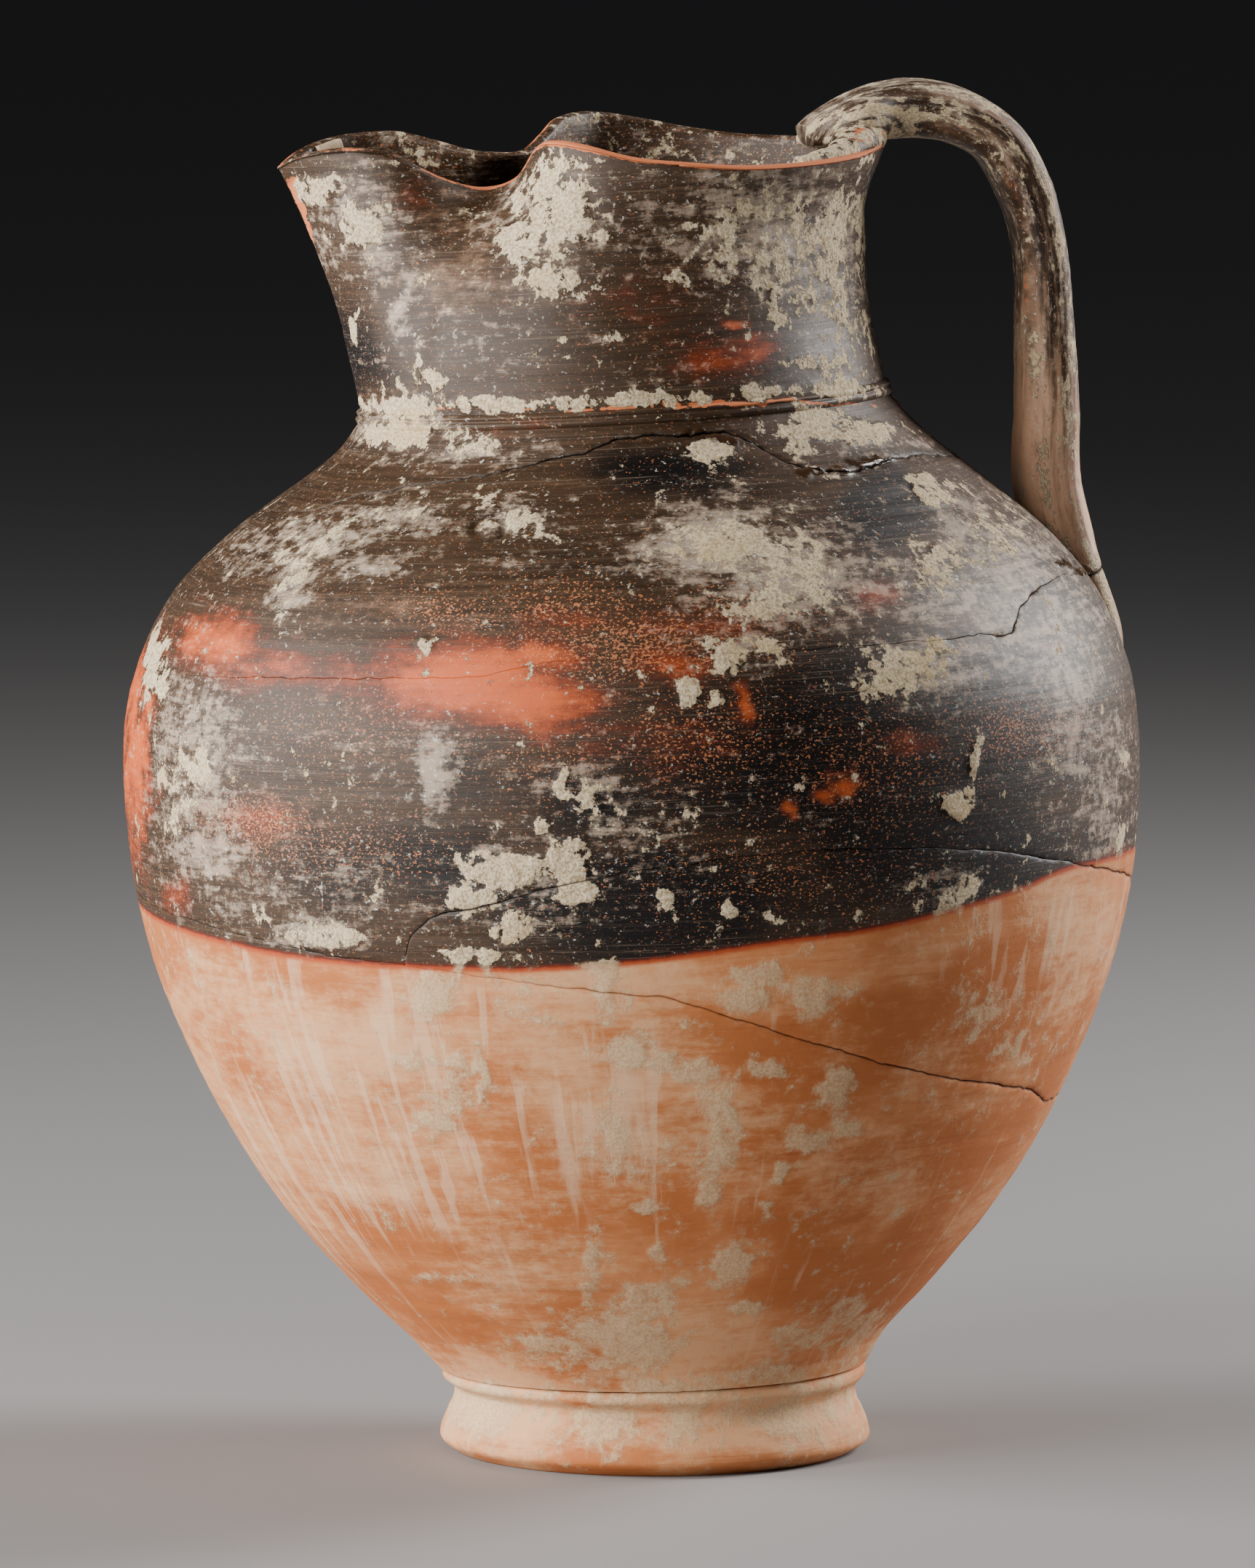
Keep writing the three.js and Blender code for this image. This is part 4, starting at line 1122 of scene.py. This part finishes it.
def strap_run():
    """Rows along the strap: radius, height, thickness, near and far half widths. The mend's row."""
    top = LIP_HEIGHT + HANDLE_RISE
    half = HANDLE_WIDTH / 2
    rest = LIP_BACK - LIP_THICKNESS
    mend = BELLY_HEIGHT + HANDLE_MEND_SHARE * SHOULDER_HEIGHT
    root = BELLY_HEIGHT + HANDLE_ROOT_SHARE * SHOULDER_HEIGHT
    middle = (mend + root) / 2
    mend_radius = wall_radius(mend)
    drop = top - mend
    rows = [
        (rest + reach * (HANDLE_REACH - rest), top - fall * drop, thick, near, far)
        for reach, fall, thick, near, far in STRAP
    ]
    rows += [
        ((HANDLE_REACH + mend_radius) / 2 - HANDLE_INSET, top - drop * 0.93, 1.22, 1, 1),
        (mend_radius - HANDLE_INSET, mend, 1, 1.1, 1.1),
        (wall_radius(middle) - HANDLE_INSET * 2, middle, 0.77, 1.2, 1.2),
        (wall_radius(root) - HANDLE_THICKNESS / 2, root, 0.45, 1.2, 1.2),
    ]
    return np.array(rows) * np.array([1, 1, HANDLE_THICKNESS, half, half]), len(STRAP) + 1


def dress_strap(fields, along, grain, angle, across, outward):
    """The strap's own marks, by how far along it and where round its section they are."""

    def at(line):
        return np.interp(along, *np.transpose(line))

    def drawn(stretch, size, layers, seed, keep=0.6):
        return cloud(grain * np.array([stretch, 1, 1]), size, layers, seed, keep)

    near_edge = smooth(-across, 0.3, 0.9)
    outer = smooth(outward, -0.2, 0.8)
    film = at(STRAP_FILM) + 0.5 * drawn(0.45, 7.0, 4, 17, 0.7) + 0.3 * drawn(0.25, 3.0, 3, 33, 0.7)
    fields["crust"] = film + (0.06 + 0.2 * outer) * near_edge - 0.14
    fields["haze"] = film + 0.06 + 0.2 * outer
    fields["black"] = at(STRAP_DARK) + 0.55 * drawn(0.12, 5.0, 4, 23, 0.7)
    # Pale tan: worn slip, on the lower strap partly painted light
    fields["tan"] = at(STRAP_BARE_AND_LIGHT) * (1 - 0.4 * outer) + 0.5 * drawn(0.12, 5.0, 4, 25)
    fields["orange"] = 0.3 * peak(angle - OUTER_ARRIS, 0.14) + 0.3 * drawn(0.06, 4.0, 3, 27)
    arris = peak(angle - NEAR_ARRIS, 0.1) * peak(along - NEAR_ARRIS_MIDDLE, NEAR_ARRIS_LENGTH)
    fields["worn"] = 0.36 * arris + 0.36 * drawn(0.12, 5.0, 3, 29)


def strap(name, run, start, cut_at_end):
    """A stretch of the strap from rows of radius, height, thickness, near and far half widths."""
    path = run[:, :2]
    way = unit(np.gradient(path, axis=0))
    angle = 2 * math.pi * np.arange(STRAP_COLUMNS) / STRAP_COLUMNS
    c, s = np.cos(angle), np.sin(angle)
    fat = (np.abs(c) ** 3 + np.abs(s) ** 3) ** (-1 / 3)
    across, outward = c * fat, s * fat
    ridge = RIDGE_HEIGHT * peak(across - RIDGE_PLACE, RIDGE_WIDTH) * (s > 0)
    out = run[:, 2:3] / 2 * outward + ridge
    side = np.where(c < 0, run[:, 3:4], run[:, 4:5]) * across
    radius = path[:, :1] - way[:, 1:] * out
    height = path[:, 1:] + way[:, :1] * out
    grid = np.stack([
        radius * math.cos(HANDLE_TURN) - side * math.sin(HANDLE_TURN),
        radius * math.sin(HANDLE_TURN) + side * math.cos(HANDLE_TURN),
        height,
    ], axis=-1)
    along = (start + lengths(path))[:, None] + 0 * side
    grain = np.stack([along, out, side + 1.6 * out], axis=-1)
    normals = grid_normals(grid)
    from_cut = along[-1:] - along if cut_at_end else along - along[:1]
    # The strap's cut end at the mend gets a darker seam: partly a dark joint, partly painted shade
    fields, relief = weather(grid, normals, 0.8 * peak(from_cut, 0.4))
    dress_strap(fields, along, grain, angle, across, outward)
    grid = grid + normals * (relief * 0.6 - 0.25 * np.exp(-from_cut / 0.5))[..., None]
    return make_piece(name, grid, tube_faces(*grid.shape[:2]), fields, grain)


def make_ear(name, side):
    """The strap's end, spread along the lip to one side."""
    middle = widened(lip_line()[None], -EAR_INSET)[0]
    if side > 0:
        middle = np.roll(middle[::-1], 1, axis=0)
    last = np.argmax(np.abs(middle[:, 1]) > EAR_REACH)
    centre = middle[4:last]
    share = np.linspace(0, 1, len(centre))[:, None]
    thick = EAR_END + (EAR_THICKNESS - EAR_END) * (1 - share) ** EAR_TAPER
    upwards = np.array([0, 0, 1])
    centre = centre + (thick * 0.5 - LIP_SINK) * upwards
    across = np.cross(unit(np.gradient(centre, axis=0)), upwards)
    angle = 2 * math.pi * np.arange(EAR_COLUMNS)[:, None] / EAR_COLUMNS
    grid = centre[:, None] + np.cos(angle) * across[:, None] * (thick + EAR_WIDER)[:, None]
    grid = grid + np.sin(angle) * thick[:, None] * upwards
    normals = grid_normals(grid)
    fields = weather(grid, normals)[0]
    fields["crust"] = 0.62 + 0.4 * cloud(grid, 5.0, 3, 103)
    fields["worn"] = 0.34 + 0.5 * cloud(grid, 6.0, 3, 107)
    grid = grid + normals * (0.5 * cloud(grid, 5.0, 3, 101))[..., None]
    return make_piece(name, grid, tube_faces(*grid.shape[:2]), fields)


def make_handle():
    """The strap in two pieces, parted at the mend over its root."""
    rows, mend_row = strap_run()
    fine = through(rows, STRAP_ROWS)
    knot = np.linspace(0, len(rows) - 1, STRAP_ROWS)
    upper = fine[knot < mend_row - 0.002]
    lower = fine[knot > mend_row + 0.002]
    length = lengths(upper[:, :2])[-1]
    return {
        "handle": strap("handle", upper, 0, True),
        "handle_root": strap("handle_root", lower, length, False),
    }


# Putting it together

pieces = make_body()
pieces["foot"] = make_foot()
pieces["neck_fillet"] = make_fillet()
pieces["neck"] = make_neck()
pieces["spout_fill"] = make_fill()
pieces.update(make_handle())
for node, piece in pieces.items():
    finish_piece(piece, node)
for name, side in EARS.items():
    made = make_ear(name, side)
    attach(made, "root")


# Floor, light and camera

FLOOR_SIZE = 60
WORLD_COLOUR = (0.8, 0.82, 0.88, 1)
WORLD_STRENGTH = 0.035
WARM = (1, 0.985, 0.96)
FAINTLY_WARM = (1, 0.985, 0.97)
WHITE = (1, 1, 1)
# Area lights: place and aim in metres, size, watts and tint
LIGHTS = {
    "left": ((-1.04, -0.88, 0.58), (0, 0, 0.14), (0.5, 1.0), 29, WARM),
    "left_side": ((-1.3, -0.05, 0.5), (0, 0, 0.12), (0.4, 0.8), 27, WARM),
    "right": ((1.12, 0.5, 0.72), (0, 0, 0.16), (0.44, 0.7), 32, FAINTLY_WARM),
    "front": ((0.1, -2.4, 1.5), (0, 0, 0.14), (0.9, 0.6), 2.6, WHITE),
}


def make_floor():
    material = bpy.data.materials.new("floor")
    material.use_nodes = True
    shader = material.node_tree.nodes["Principled BSDF"]
    shader.inputs["Base Color"].default_value = FLOOR_GREY
    shader.inputs["Roughness"].default_value = 0.7
    bpy.ops.mesh.primitive_plane_add(size=FLOOR_SIZE)
    floor = bpy.context.object
    floor.name = "floor"
    floor.data.materials.append(material)


def make_light(name, place, aim, size, power, tint):
    data = bpy.data.lights.new(name, "AREA")
    data.shape = "RECTANGLE"
    data.size, data.size_y = size
    data.energy = power
    data.color = tint
    light = placed(name, data)
    light.location = place
    light.rotation_euler = (Vector(aim) - Vector(place)).to_track_quat("-Z", "Y").to_euler()


def make_camera():
    data = bpy.data.cameras.new("camera")
    data.sensor_fit = "VERTICAL"
    data.sensor_height = SENSOR
    data.lens = CAMERA_LENS
    camera = placed("camera", data)
    camera.location = CAMERA_AT / 1000
    camera.rotation_euler = (math.pi / 2 - CAMERA_PITCH, 0, 0)
    bpy.context.scene.camera = camera


def make_world():
    world = bpy.data.worlds.new("world")
    world.use_nodes = True
    background = world.node_tree.nodes["Background"]
    background.inputs["Color"].default_value = WORLD_COLOUR
    background.inputs["Strength"].default_value = WORLD_STRENGTH
    bpy.context.scene.world = world


make_floor()
for name, row in LIGHTS.items():
    make_light(name, *row)
make_camera()
make_world()
